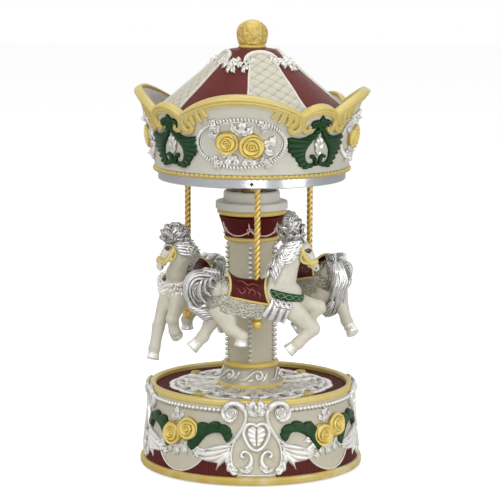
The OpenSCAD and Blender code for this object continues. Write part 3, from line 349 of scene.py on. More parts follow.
def blossom(radius: float, lift: float) -> Relief:
    """A small open flower of five petals, with a raised eye.

    It is a disc whose radius and height rise and fall with an absolute sine of the angle.

    Args:
        radius: Radius over the petals.
        lift: Height of the eye.

    Returns:
        The relief, drawn about its middle.
    """
    q = np.linspace(0.05, 1, 9)[:, None]
    petals, sides = 5, 30
    a = steps_round(sides)
    wave = np.abs(np.sin(petals * a / 2))
    r = radius * q * (0.62 + 0.38 * wave**0.7)
    h = lift * (0.55 + 0.45 * np.sin(np.pi * np.clip(q, 0, 0.9))) * (0.55 + 0.45 * wave) + lift * 0.5 * (q < 0.25)
    points = np.stack([r * np.cos(a), r * np.sin(a), h * np.ones_like(a)], axis=2)
    low = points[-1] * np.array([1, 1, 0]) - np.array([0, 0, 0.3])
    # Painted shade between the petals, growing outward.
    recess = np.clip((1 - wave) * q * 1.3, 0, 1)
    return Relief(np.concatenate([points, low[None]]), np.vstack([recess, np.ones((1, sides))]))


def bead(radius: float, sides: int = 8, rows: int = 6) -> Relief:
    """A ball about the origin, by latitude rows and longitude columns.

    Args:
        radius: Its radius.
        sides: Points round it.
        rows: Rows from pole to pole.

    Returns:
        The relief, in space.
    """
    t = np.linspace(0.06, np.pi - 0.06, rows)[:, None]
    a = steps_round(sides)
    points = radius * np.stack([np.sin(t) * np.cos(a), np.sin(t) * np.sin(a), np.cos(t) * np.ones_like(a)], axis=2)
    # Painted shade: the ball darkens from near its top to fully dark below its middle.
    return Relief(points, np.clip(0.9 - np.cos(t) * 1.5, 0, 1) * np.ones_like(a))


def lump(radius: float, sides: int, rows: int, squash: Sequence[float], centre: Sequence[float],
         recess: float = 0.0) -> Relief:
    """A ball that is squashed along each axis and moved to its place.

    Args:
        radius: Its radius.
        sides: Points round it.
        rows: Rows from pole to pole.
        squash: Scale along x, y and z.
        centre: Its middle.
        recess: How much of the dark wash and painted shade it takes, from 0 to 1.

    Returns:
        The relief, in space.
    """
    points = bead(radius, sides, rows).points * np.array(squash) + np.array(centre)
    return Relief(points, np.full((rows, sides), recess))


def rope(path: Array, radius: Array | float, sides: int = 12, side_axis: Sequence[float] = (0, 1, 0),
         flat: Array | float = 1.0, lobes: int = 0, lobe: float = 0.0, twist: float = 0.0) -> Relief:
    """A tube through space along a path.

    The section stands square to the path. It is an ellipse, radius deep and radius times flat wide along the side
    axis, with a cosine of some lobes round it that twists along the way.

    Args:
        path: The (n, 3) middle line.
        radius: Half-depth, one value or one per row.
        sides: Points round the section.
        side_axis: The direction that the width keeps to, one or one per row.
        flat: Width against depth.
        lobes: Lobes round the section.
        lobe: Height of the lobes as a share of the radius.
        twist: Turns of the lobes along the way.

    Returns:
        The relief, in space.
    """
    n = len(path)
    t = np.gradient(path, axis=0)
    t /= np.maximum(np.linalg.norm(t, axis=1, keepdims=True), 1e-9)
    axis = np.broadcast_to(np.asarray(side_axis, float), (n, 3))
    wide = axis - t * np.sum(t * axis, axis=1, keepdims=True)
    wide /= np.maximum(np.linalg.norm(wide, axis=1, keepdims=True), 1e-9)
    deep = np.cross(t, wide)
    a = steps_round(sides)
    wave = np.cos(lobes * (a - 2 * np.pi * twist * np.linspace(0, 1, n)[:, None] / max(lobes, 1))) if lobes else 0 * a
    r = np.broadcast_to(radius, (n,))[:, None] * (1 + lobe * wave)
    w = np.broadcast_to(flat, (n,))[:, None]
    points = path[:, None] + deep[:, None] * (r * np.sin(a))[..., None] + wide[:, None] * (r * w * np.cos(a))[..., None]
    # With lobes, painted shade in the grooves between them.
    return Relief(points, np.clip(0.5 - 0.62 * wave, 0, 1) * np.ones((n, sides)) if lobes else np.zeros((n, sides)))


# ---------------------------------------------------------------- grounds that ornament lies on


@dataclass(frozen=True)
class Ground:
    """A surface of revolution about the column's axis: its radius and height at a place y up its profile."""

    radius: Callable[[Array], Array]
    height: Callable[[Array], Array]
    side: float = 1.0

    def place(self, relief: Relief, azimuth: float) -> Relief:
        """Wraps a flat relief onto the ground.

        The azimuth is the relief's x as arc length at its height, and its lift goes along the ground's normal.

        Args:
            relief: The relief, drawn flat.
            azimuth: Where its own x of 0 goes, in degrees from the front towards the right.

        Returns:
            The relief, in space.
        """
        x, y, lift = relief.points[..., 0], relief.points[..., 1], relief.points[..., 2]
        r, z = self.radius(y), self.height(y)
        dr, dz = self.radius(y + 0.01) - r, self.height(y + 0.01) - z
        size = np.hypot(dr, dz)
        out_r = r + self.side * dz / size * lift
        out_z = z - self.side * dr / size * lift
        return Relief(round_axis(out_r, math.radians(azimuth) + x / r, out_z), relief.recess)


def quarter_turns(count: int = 4) -> Array:
    """Azimuths of a pattern that repeats a few times round the axis."""
    return np.arange(count) * 360.0 / count


# ---------------------------------------------------------------- meshes


class Casting:
    """One visible piece, gathered from closed grids and made into a single mesh."""

    def __init__(self, name: str) -> None:
        """Starts an empty piece.

        Args:
            name: Its name.
        """
        self.name = name
        self.points: list[Array] = []
        self.recess: list[Array] = []
        self.quads: list[Array] = []
        self.tris: list[Array] = []
        self.count = 0

    def add(self, relief: Relief, ring: bool = False) -> "Casting":
        """Adds a grid whose columns wrap round.

        Rows join end to end when ring is set, and otherwise each end closes with a fan to its middle. A shell that
        comes out inside out, by its signed volume, is turned round.

        Args:
            relief: Points of shape (rows, columns, 3) in millimetres.
            ring: Whether the last row joins the first.

        Returns:
            The piece itself.
        """
        p = relief.points
        n, m = p.shape[:2]
        flat = p.reshape(-1, 3)
        rows = np.arange(n if ring else n - 1)
        i, j = np.meshgrid(rows, np.arange(m), indexing="ij")
        i2, j2 = (i + 1) % n, (j + 1) % m
        quads = np.stack([i * m + j, i2 * m + j, i2 * m + j2, i * m + j2], axis=-1).reshape(-1, 4)
        recess = relief.recess.reshape(-1)
        tris = np.zeros((0, 3), int)
        if not ring:
            flat = np.vstack([flat, p[0].mean(axis=0), p[-1].mean(axis=0)])
            recess = np.concatenate([recess, [relief.recess[0].mean(), relief.recess[-1].mean()]])
            k = np.arange(m)
            k2 = (k + 1) % m
            last = (n - 1) * m
            tris = np.vstack([np.stack([np.full(m, n * m), k, k2], axis=1),
                              np.stack([np.full(m, n * m + 1), last + k2, last + k], axis=1)])
        half = np.vstack([quads[:, [0, 1, 2]], quads[:, [0, 2, 3]], tris])
        a, b, c = flat[half[:, 0]], flat[half[:, 1]], flat[half[:, 2]]
        if np.einsum("ij,ij->", a, np.cross(b, c)) < 0:
            quads, tris = quads[:, ::-1], tris[:, ::-1]
        self.points.append(flat)
        self.recess.append(recess)
        self.quads.append(quads + self.count)
        self.tris.append(tris + self.count)
        self.count += len(flat)
        return self

    def lay(self, ground: Ground, reliefs: Sequence[Relief], azimuths: Sequence[float]) -> "Casting":
        """Lays every relief on the ground at every azimuth.

        Args:
            ground: The surface they lie on.
            reliefs: The reliefs, drawn flat.
            azimuths: Their places in degrees.

        Returns:
            The piece itself.
        """
        for azimuth in azimuths:
            for relief in reliefs:
                self.add(ground.place(relief, azimuth))
        return self

    def add_balls(self, centres: Array, radius: float, sides: int = 8, rows: int = 6) -> "Casting":
        """Adds a ball of one radius at each centre.

        Args:
            centres: The (n, 3) centres.
            radius: The radius of all.
            sides: Points round a ball.
            rows: Rows from pole to pole.

        Returns:
            The piece itself.
        """
        ball = bead(radius, sides, rows)
        for centre in centres:
            self.add(Relief(ball.points + centre, ball.recess))
        return self

    def mesh(self) -> bpy.types.Mesh:
        """Makes the mesh, smooth, with the recess of each point as an attribute.

        Returns:
            The mesh, in metres.
        """
        points = np.vstack(self.points) * MM
        quads, tris = np.vstack(self.quads), np.vstack(self.tris)
        mesh = bpy.data.meshes.new(self.name)
        mesh.vertices.add(len(points))
        mesh.vertices.foreach_set("co", points.astype(np.float32).ravel())
        loops = np.concatenate([quads.ravel(), tris.ravel()])
        mesh.loops.add(len(loops))
        mesh.loops.foreach_set("vertex_index", loops.astype(np.int32))
        totals = np.concatenate([np.full(len(quads), 4), np.full(len(tris), 3)])
        starts = np.concatenate([[0], np.cumsum(totals)[:-1]])
        mesh.polygons.add(len(totals))
        mesh.polygons.foreach_set("loop_start", starts.astype(np.int32))
        mesh.polygons.foreach_set("use_smooth", np.ones(len(totals), bool))
        mesh.update(calc_edges=True)
        mesh.validate()
        mesh.attributes.new("recess", "FLOAT", "POINT")
        mesh.attributes["recess"].data.foreach_set("value", np.concatenate(self.recess).astype(np.float32))
        return mesh

    def build(self, finish: "Finish", body: str, slot: str, replaces: Sequence[str] = (),
              sharp: float | None = None) -> bpy.types.Object:
        """Makes the object, paints it and fixes it to its body.

        Args:
            finish: The finish it wears.
            body: The body that it moves with.
            slot: The record's material slot; not used.
            replaces: The nodes it stands for.
            sharp: Edges over this angle in degrees stay crisp.

        Returns:
            The object.
        """
        mesh = self.mesh()
        if sharp is not None:
            mesh.set_sharp_from_angle(angle=math.radians(sharp))
        return settle(bpy.data.objects.new(self.name, mesh), finish, body, replaces)


def settle(piece: bpy.types.Object, finish: "Finish", body: str,
           replaces: Sequence[str] = ()) -> bpy.types.Object:
    """Links a finished piece, paints it, fixes it to its body and hides what it stands for.

    Args:
        piece: The object.
        finish: The finish it wears.
        body: The body that it moves with.
        replaces: The nodes it stands for.

    Returns:
        The object.
    """
    if piece.name not in bpy.context.scene.collection.objects:
        bpy.context.scene.collection.objects.link(piece)
    piece.data.materials.clear()
    piece.data.materials.append(finish.material())
    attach(piece, body)
    if replaces:
        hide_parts(*replaces)
    LOG.info("%s: %d faces on %s", piece.name, len(piece.data.polygons), body)
    return piece


# ---------------------------------------------------------------- finishes


def linear(code: str) -> tuple[float, float, float, float]:
    """Turns a hexadecimal screen colour into linear values.

    Args:
        code: Six hexadecimal digits.

    Returns:
        Red, green, blue and alpha.
    """
    c = np.array([int(code[i:i + 2], 16) for i in (0, 2, 4)]) / 255
    rgb = np.where(c <= 0.04045, c / 12.92, ((c + 0.055) / 1.055) ** 2.4)
    return (*map(float, rgb), 1.0)


def feed(tree: bpy.types.NodeTree, node: bpy.types.Node, inputs: Mapping[str | int, object]) -> bpy.types.Node:
    """Fills a shader node's inputs.

    Args:
        tree: Its tree.
        node: The node.
        inputs: For each input a constant, or a socket to link.

    Returns:
        The node.
    """
    for label, value in inputs.items():
        if isinstance(value, bpy.types.NodeSocket):
            tree.links.new(value, node.inputs[label])
        else:
            node.inputs[label].default_value = value
    return node


def add_node(tree: bpy.types.NodeTree, kind: str, inputs: Mapping[str | int, object],
             **settings: object) -> bpy.types.Node:
    """Adds a shader node.

    Args:
        tree: Where it goes.
        kind: Its type's name after ShaderNode.
        inputs: For each input a constant, or a socket to link.
        **settings: Its own properties, which are set first.

    Returns:
        The node.
    """
    node = tree.nodes.new("ShaderNode" + kind)
    for name, value in settings.items():
        setattr(node, name, value)
    return feed(tree, node, inputs)


def times(tree: bpy.types.NodeTree, one: object, other: object) -> bpy.types.NodeSocket:
    """Multiplies two values, each a constant or a socket."""
    return add_node(tree, "Math", {0: one, 1: other}, operation="MULTIPLY").outputs[0]


class Effect:
    """A shared shader group: built once under its name, then placed in each material with its own values."""

    def __init__(self, name: str, inputs: Sequence[tuple[str, str, object]], output: tuple[str, str],
                 fill: Callable[[bpy.types.NodeTree, bpy.types.Node, bpy.types.Node], None]) -> None:
        """Builds the group.

        Args:
            name: The group's name.
            inputs: Socket names, types and defaults.
            output: The one socket that it puts out.
            fill: Adds the nodes between the group's input and output.
        """
        self.tree = bpy.data.node_groups.new(name, "ShaderNodeTree")
        for label, kind, default in inputs:
            socket = self.tree.interface.new_socket(label, in_out="INPUT", socket_type=kind)
            socket.default_value = default
        self.tree.interface.new_socket(output[0], in_out="OUTPUT", socket_type=output[1])
        entry, leave = self.tree.nodes.new("NodeGroupInput"), self.tree.nodes.new("NodeGroupOutput")
        fill(self.tree, entry, leave)

    def place(self, tree: bpy.types.NodeTree, **values: object) -> bpy.types.Node:
        """Places the group in a material.

        Args:
            tree: The material's tree.
            **values: For each input a constant, or a socket to link.

        Returns:
            The group's node.
        """
        return feed(tree, add_node(tree, "Group", {}, node_tree=self.tree), values)


def _blotches(tree: bpy.types.NodeTree, entry: bpy.types.Node, leave: bpy.types.Node) -> None:
    """Paint that varies in patches: two noises of different size mix a second colour in.

    Args:
        tree: The group's tree.
        entry: Its input node.
        leave: Its output node.
    """
    spot, scale = entry.outputs["Place"], entry.outputs["Scale"]
    coarse = add_node(tree, "TexNoise", {"Vector": spot, "Scale": scale})
    fine = add_node(tree, "TexNoise", {"Vector": spot, "Scale": times(tree, scale, 4.3), "Detail": 4})
    patches = times(tree, coarse.outputs["Fac"], fine.outputs["Fac"])
    contrast = add_node(tree, "MapRange", {"Value": patches, "From Min": 0.2, "From Max": 0.42})
    share = times(tree, contrast.outputs["Result"], entry.outputs["Amount"])
    mix = add_node(tree, "Mix", {"Factor": share, "A": entry.outputs["Color"], "B": entry.outputs["Second"]},
                   data_type="RGBA")
    tree.links.new(mix.outputs["Result"], leave.inputs["Color"])


def _wash_and_shade(tree: bpy.types.NodeTree, entry: bpy.types.Node, leave: bpy.types.Node) -> None:
    """A dark colour mixed in by the recess mask, broken up by a noise: painted shade in hollows, creases and
    undersides, and in part an antique wash.

    Args:
        tree: The group's tree.
        entry: Its input node.
        leave: Its output node.
    """
    noise = add_node(tree, "TexNoise", {"Vector": entry.outputs["Place"], "Scale": 900})
    patch = add_node(tree, "MapRange", {"Value": noise.outputs["Fac"], "From Min": 0.25, "From Max": 0.6,
                                        "To Min": 0.55})
    depth = add_node(tree, "Math", {0: entry.outputs["Recess"], 1: 1.4}, operation="POWER")
    reach = times(tree, depth.outputs[0], patch.outputs["Result"])
    share = times(tree, reach, entry.outputs["Amount"])
    mix = add_node(tree, "Mix", {"Factor": share, "A": entry.outputs["Color"], "B": entry.outputs["WashShade"]},
                   data_type="RGBA")
    tree.links.new(mix.outputs["Result"], leave.inputs["Color"])


def _grain(tree: bpy.types.NodeTree, entry: bpy.types.Node, leave: bpy.types.Node) -> None:
    """The fine unevenness of a casting or a brush: two noises added, the coarse one three times as strong.

    Args:
        tree: The group's tree.
        entry: Its input node.
        leave: Its output node.
    """
    spot, scale = entry.outputs["Place"], entry.outputs["Scale"]
    coarse = add_node(tree, "TexNoise", {"Vector": spot, "Scale": scale})
    fine = add_node(tree, "TexNoise", {"Vector": spot, "Scale": times(tree, scale, 5.0)})
    total = add_node(tree, "Math", {0: coarse.outputs["Fac"], 1: times(tree, fine.outputs["Fac"], 0.33)},
                     operation="ADD")
    tree.links.new(total.outputs[0], leave.inputs["Height"])


VECTOR, FLOAT, COLOUR = "NodeSocketVector", "NodeSocketFloat", "NodeSocketColor"
WHITE = (1.0, 1.0, 1.0, 1.0)
BLOTCHES = Effect("paint_blotches", [("Place", VECTOR, (0, 0, 0)), ("Color", COLOUR, WHITE), ("Second", COLOUR, WHITE),
                                     ("Scale", FLOAT, 60.0), ("Amount", FLOAT, 0.5)], ("Color", COLOUR), _blotches)
# Mixes the dark colour in by the recess mask: painted shade, and in part an antique wash.
WASH_AND_SHADE = Effect("recess_wash_and_shade", [("Place", VECTOR, (0, 0, 0)), ("Color", COLOUR, WHITE), ("WashShade", COLOUR, WHITE),
                              ("Recess", FLOAT, 0.0), ("Amount", FLOAT, 0.5)], ("Color", COLOUR), _wash_and_shade)
GRAIN = Effect("casting_grain", [("Place", VECTOR, (0, 0, 0)), ("Scale", FLOAT, 300.0)], ("Height", FLOAT), _grain)


@dataclass(frozen=True)
class Finish:
    """A painted or plated surface: its colours, its wash and painted shade in the recesses, its gloss and its grain."""

    name: str
    colour: str
    second: str
    # The dark colour that the recess mask mixes in: painted shade, and in part an antique wash.
    wash_shade: str = "5A4A38"
    blotch: float = 0.5
    blotch_scale: float = 60.0
    wash_shade_amount: float = 0.6
    roughness: float = 0.5
    metallic: float = 0.0
    coat: float = 0.0
    specular: float = 0.5
    grain_scale: float = 350.0
    grain: float = 0.12
    grain_reach: float = 0.0004
    stretch: tuple[float, float, float] = (1.0, 1.0, 1.0)

    def material(self) -> bpy.types.Material:
        """Builds the finish's material once, and gives it again after that.

        Returns:
            The material.
        """
        found = bpy.data.materials.get(self.name)
        if found:
            return found
        mat = bpy.data.materials.new(self.name)
        mat.use_nodes = True
        tree = mat.node_tree
        place = tree.nodes.new("ShaderNodeTexCoord").outputs["Object"]
        spot = add_node(tree, "Mapping", {"Vector": place, "Scale": self.stretch}).outputs["Vector"]
        recess = add_node(tree, "Attribute", {}, attribute_name="recess")
        paint = BLOTCHES.place(tree, Place=spot, Color=linear(self.colour), Second=linear(self.second),
                               Scale=self.blotch_scale, Amount=self.blotch)
        # The recess mask darkens the paint toward the dark colour: painted shade, with some antique wash.
        washed_and_shaded = WASH_AND_SHADE.place(tree, Place=spot, Color=paint.outputs["Color"], WashShade=linear(self.wash_shade),
                            Recess=recess.outputs["Fac"], Amount=self.wash_shade_amount)
        height = GRAIN.place(tree, Place=spot, Scale=self.grain_scale).outputs["Height"]
        bump = add_node(tree, "Bump", {"Strength": self.grain, "Distance": self.grain_reach, "Height": height})
        gloss = add_node(tree, "MapRange", {"Value": height, "From Min": 0.3, "From Max": 1.0,
                                            "To Min": max(self.roughness - 0.06, 0.02),
                                            "To Max": min(self.roughness + 0.08, 1.0)})
        feed(tree, tree.nodes["Principled BSDF"], {
            "Base Color": washed_and_shaded.outputs["Color"], "Normal": bump.outputs["Normal"],
            "Roughness": gloss.outputs["Result"], "Metallic": self.metallic, "Coat Weight": self.coat,
            "Specular IOR Level": self.specular})
        return mat


CREAM = Finish("cream_satin", "CCC6B2", "C1B9A0", blotch=0.45, wash_shade="8C8064", roughness=0.42)
CROWN_CREAM = Finish("cream_crown", "CECBBE", "C5C1B0", blotch=0.5, wash_shade="8C8470", roughness=0.4)
STONE = Finish("cream_column", "C4BEA6", "B7AF96", blotch=0.5, wash_shade="7C7058", roughness=0.42)
COLLAR = Finish("cream_collar", "DBD8CD", "D2CEC0", blotch=0.5, wash_shade="8C8068", roughness=0.36)
HORSE_CREAM = Finish("cream_horse", "D9D4C4", "CAC3AC", blotch=0.6, blotch_scale=90, wash_shade="9A907A", roughness=0.4)
GOLD = Finish("pale_gold_paint", "E2C568", "D9C582", blotch=0.5, wash_shade="7E5A1C", wash_shade_amount=0.8, roughness=0.42,
              metallic=0.15, grain=0.1)
EDGE_GOLD = Finish("pearl_gold_paint", "DAC471", "D9CB97", blotch=0.7, wash_shade="A08038", wash_shade_amount=0.55,
                   roughness=0.4, metallic=0.1, grain=0.08)
FOOT_GOLD = Finish("patched_gold_paint", "CDB158", "DFD4A8", blotch=0.9, blotch_scale=34, wash_shade="A08038",
                   wash_shade_amount=0.55, roughness=0.4, metallic=0.1, grain=0.08)
ROSE_GOLD = Finish("rose_yellow_paint", "F8E286", "EFD266", blotch=0.4, wash_shade="8C6C18", wash_shade_amount=0.85,
                   roughness=0.4, metallic=0.12, grain=0.08)
SILVER = Finish("antiqued_silver", "F3F1EA", "E3E0D7", blotch=0.5, wash_shade="5A564C", wash_shade_amount=0.9, roughness=0.28,
                metallic=0.45, grain=0.2, grain_scale=700)
SCROLL_SILVER = Finish("white_silver", "F5F3EE", "E8E5DC", blotch=0.5, wash_shade="6C685C", wash_shade_amount=0.85, roughness=0.3,
                       metallic=0.3, grain=0.12, grain_scale=700)
DECK_SILVER = Finish("deck_silver", "F2F0EA", "E4E1D6", blotch=0.5, wash_shade="46423A", wash_shade_amount=0.95, roughness=0.28,
                     metallic=0.5, grain=0.2, grain_scale=600)
DECK_BURGUNDY = Finish("burgundy_deck", "4A100F", "3E0C0C", blotch=0.5, wash_shade="1E0606", roughness=0.6, specular=0.08)
FOOT_SILVER = Finish("silvered_foot", "ADA797", "9F9986", blotch=0.6, wash_shade="6A6452", roughness=0.36, metallic=0.3)
PEARL = Finish("silver_pearl", "F4F2EC", "E8E5DC", blotch=0.4, wash_shade="6A665A", wash_shade_amount=0.7, roughness=0.3,
               metallic=0.35, grain=0.1)
MANE_SILVER = Finish("silver_leaf_mane", "F2F1EF", "DDDCD8", blotch=0.5, wash_shade="4A473E", wash_shade_amount=0.9,
                     roughness=0.27, metallic=0.6, grain=0.15, grain_scale=600)
GLITTER = Finish("silver_glitter", "C6C2B4", "A9A594", blotch=0.9, blotch_scale=900, wash_shade="6C6A66",
                 roughness=0.24, metallic=0.8, grain=0.9, grain_scale=1400, grain_reach=0.0006)
BURGUNDY = Finish("burgundy_ribbed", "5A1A18", "4C1412", blotch=0.5, wash_shade="1E0606", wash_shade_amount=0.8, roughness=0.42,
                  specular=0.2)
ROOF_BURGUNDY = Finish("burgundy_roof", "68231D", "5E1C18", blotch=0.6, wash_shade="3A1214", roughness=0.42, specular=0.2)
CAPITAL_BURGUNDY = Finish("burgundy_capital", "64150F", "54100C", blotch=0.5, wash_shade="1E0504", wash_shade_amount=0.95,
                          roughness=0.42, specular=0.2)
SADDLE_BURGUNDY = Finish("burgundy_saddle", "4C110D", "400D0B", blotch=0.6, wash_shade="1E0504", wash_shade_amount=0.9,
                         roughness=0.4, specular=0.16)
# Lighter than the saddle's burgundy: painted highlight on the raised engraved lines.
TOOLING_HIGHLIGHT = Finish("burgundy_tooling_highlight", "8A4640", "7A3A36", blotch=0.5, wash_shade="3A0F0C", roughness=0.34)
GREEN = Finish("leaf_green_paint", "1C4420", "153719", blotch=0.6, wash_shade="071A0A", wash_shade_amount=0.9, roughness=0.36,
               specular=0.25)
WEAVE_GREEN = Finish("green_weave", "7E9C80", "6A8A6E", blotch=0.5, wash_shade="1B3A22", roughness=0.3, metallic=0.3)
LATTICE = Finish("cream_lattice", "D8D3C0", "CEC8B4", blotch=0.4, wash_shade="8E866C", wash_shade_amount=0.85, roughness=0.42)
PIPING = Finish("white_piping", "F1EEE8", "E6E2D8", blotch=0.4, wash_shade="A39A80", wash_shade_amount=0.3, roughness=0.4)
SWAG_PINK = Finish("swag_pearl", "E2CCC8", "CDB2AE", blotch=0.5, wash_shade="7A4448", roughness=0.34, metallic=0.3)
BLACK = Finish("black_enamel", "0C0B0B", "141312", wash_shade="000000", roughness=0.18, coat=0.4, grain=0.03)
POLE_GOLD = Finish("rope_gold", "EBCB72", "DDB858", blotch=0.4, wash_shade="8A6420", wash_shade_amount=0.8, roughness=0.3,
                   metallic=0.45, grain=0.08)
CHROME = Finish("plated_rim", "D6D8DC", "C9CBD0", blotch=0.3, roughness=0.16, metallic=1.0, grain=0.04,
                stretch=(1, 1, 12))
BRASS = Finish("machined_brass", "C9A455", "B8923F", roughness=0.28, metallic=1.0, grain=0.08)
STEEL = Finish("polished_steel", "B9BBBF", "A5A7AC", roughness=0.24, metallic=1.0, grain=0.06)
BLUED = Finish("spring_steel", "7C828C", "5F6A7A", roughness=0.3, metallic=1.0, grain=0.05)
COVER = Finish("black_moulding", "1C1B1B", "242322", roughness=0.6, grain=0.4, grain_scale=900)
RUBBER = Finish("rubber_pad", "161515", "1E1D1C", roughness=0.85, grain=0.3, grain_scale=800)

NODE_FINISHES: dict[Finish, tuple[str, ...]] = {
    CREAM: ("base_shell",),
    FOOT_SILVER: ("column_foot",),
    CROWN_CREAM: ("crown_shell",),
    STONE: ("column_shaft",),
    COLLAR: ("column_collar",),
    EDGE_GOLD: ("deck_rim",),
    FOOT_GOLD: ("base_foot_band",),
    GOLD: ("column_rings",),
    DECK_BURGUNDY: ("deck_inlay",),
    ROOF_BURGUNDY: ("roof_burgundy",),
    CHROME: ("canopy_floor",),
    BRASS: ("column_tube", "cam_ring", "movement_brackets", "spring_housing",
            "great_wheel", "pinned_cylinder", "governor_wheel"),
    STEEL: ("shaft_bearings", "canopy_hub", "screws", "movement_bedplate", "comb", "drive_shaft", "winding_arbor",
            "governor_fly", "winding_key"),
    BLUED: ("click_spring", "mainspring"),
    COVER: ("bottom_cover",),
    RUBBER: ("rubber_feet",),
}


def paint_frame() -> None:
    """Gives every node that stays in sight its finish."""
    for finish, names in NODE_FINISHES.items():
        for name in names:
            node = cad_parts[name]
            node.data.materials.clear()
            node.data.materials.append(finish.material())


# ---------------------------------------------------------------- the base


DECK_Z, FOOT_H, RIM_Z = 34.5, 3.9, 33.8
CROWN_Z, CROWN_TOP = 135.1, 169.5
CROWN_FOOT_R, FLARE_ARC = 43.3, 76.23
ROOF_R, ROOF_EDGE_Z, ROOF_SLOPE = 43.47, 158.1, math.tan(math.radians(40.4))
CAPITAL_Z, CAPITAL_TOP, CAPITAL_H = 103.3, 113.2, 9.9
DECK_TOP = DECK_Z + 0.7


def drum_radius(z: Array) -> Array:
    """The drum's radius: 45 at the deck, spreading by a power of the depth below it, and 0.8 more over the rim ring."""
    spread = 2.9 * (np.maximum(0, DECK_Z - z) / 30.6) ** 1.5
    return 45 + spread + 0.85 * np.clip((z - RIM_Z) / 0.9, 0, 1)


def crown_radius(z: Array) -> Array:
    """The crown's radius: a circular arc that starts upright at the bead ring and flares outward."""
    rise = np.clip(z - CROWN_Z, 0, 40)
    return CROWN_FOOT_R + FLARE_ARC - np.sqrt(FLARE_ARC**2 - rise**2)


DRUM = Ground(drum_radius, lambda z: z)
DECK = Ground(lambda y: y, lambda y: np.full_like(y, DECK_TOP), side=-1.0)
FOOT = Ground(lambda z: np.interp(z, [37.5, 38.9, 42.1, 43.5, 44.5], [14.5, 13.9, 12.6, 12.0, 12.0]), lambda z: z)
CAPITAL = Ground(lambda z: 12 + 3 * (np.clip(z - CAPITAL_Z, 0, CAPITAL_H) / CAPITAL_H) ** 1.3, lambda z: z)
CROWN = Ground(crown_radius, lambda z: z)
ROOF = Ground(lambda z: ROOF_R - (z - ROOF_EDGE_Z) / ROOF_SLOPE, lambda z: z)
FINIAL = Ground(lambda z: np.interp(z, [187.0, 188.2, 188.6, 189.4, 190.6, 193.2, 196.0, 198.2, 199.0],
                                    [5.8, 5.8, 5.2, 5.4, 5.65, 6.05, 5.6, 4.2, 2.4]), lambda z: z)


def both(reliefs: Sequence[Relief]) -> list[Relief]:
    """Every relief and its mirror image."""
    return [*reliefs, *(r.mirrored() for r in reliefs)]


def spray(x: float, y: float, angles: Sequence[float], length: float, width: float, lift: float = 1.0,
          lobes: int = 2) -> list[Relief]:
    """Leaves that fan out from one point.

    Args:
        x: The point's place across.
        y: The point's place up.
        angles: Direction of each leaf in degrees.
        length: Length of a leaf.
        width: Half-width of a leaf.
        lift: Height of a leaf.
        lobes: Lobes on each side of a leaf.

    Returns:
        The leaves.
    """
    out = []
    for i, angle in enumerate(angles):
        bend = 0.16 * length * (1 if i % 2 else -1)
        path = spline([(0, 0), (length * 0.5, bend), (length, 0)], 14)
        out.append(leaf(path, width, lift, lobes=lobes, depth=0.3, sides=12).moved(x, y, angle))
    return out


def sprays(rows: Sequence[tuple]) -> list[Relief]:
    """The leaves of several sprays, each a row of what spray takes."""
    return [piece for row in rows for piece in spray(*row)]


def blossoms(rows: Sequence[tuple]) -> list[Relief]:
    """Several blossoms, each a row of radius, lift, and what Relief.moved takes."""
    return [blossom(radius, lift).moved(*place) for radius, lift, *place in rows]


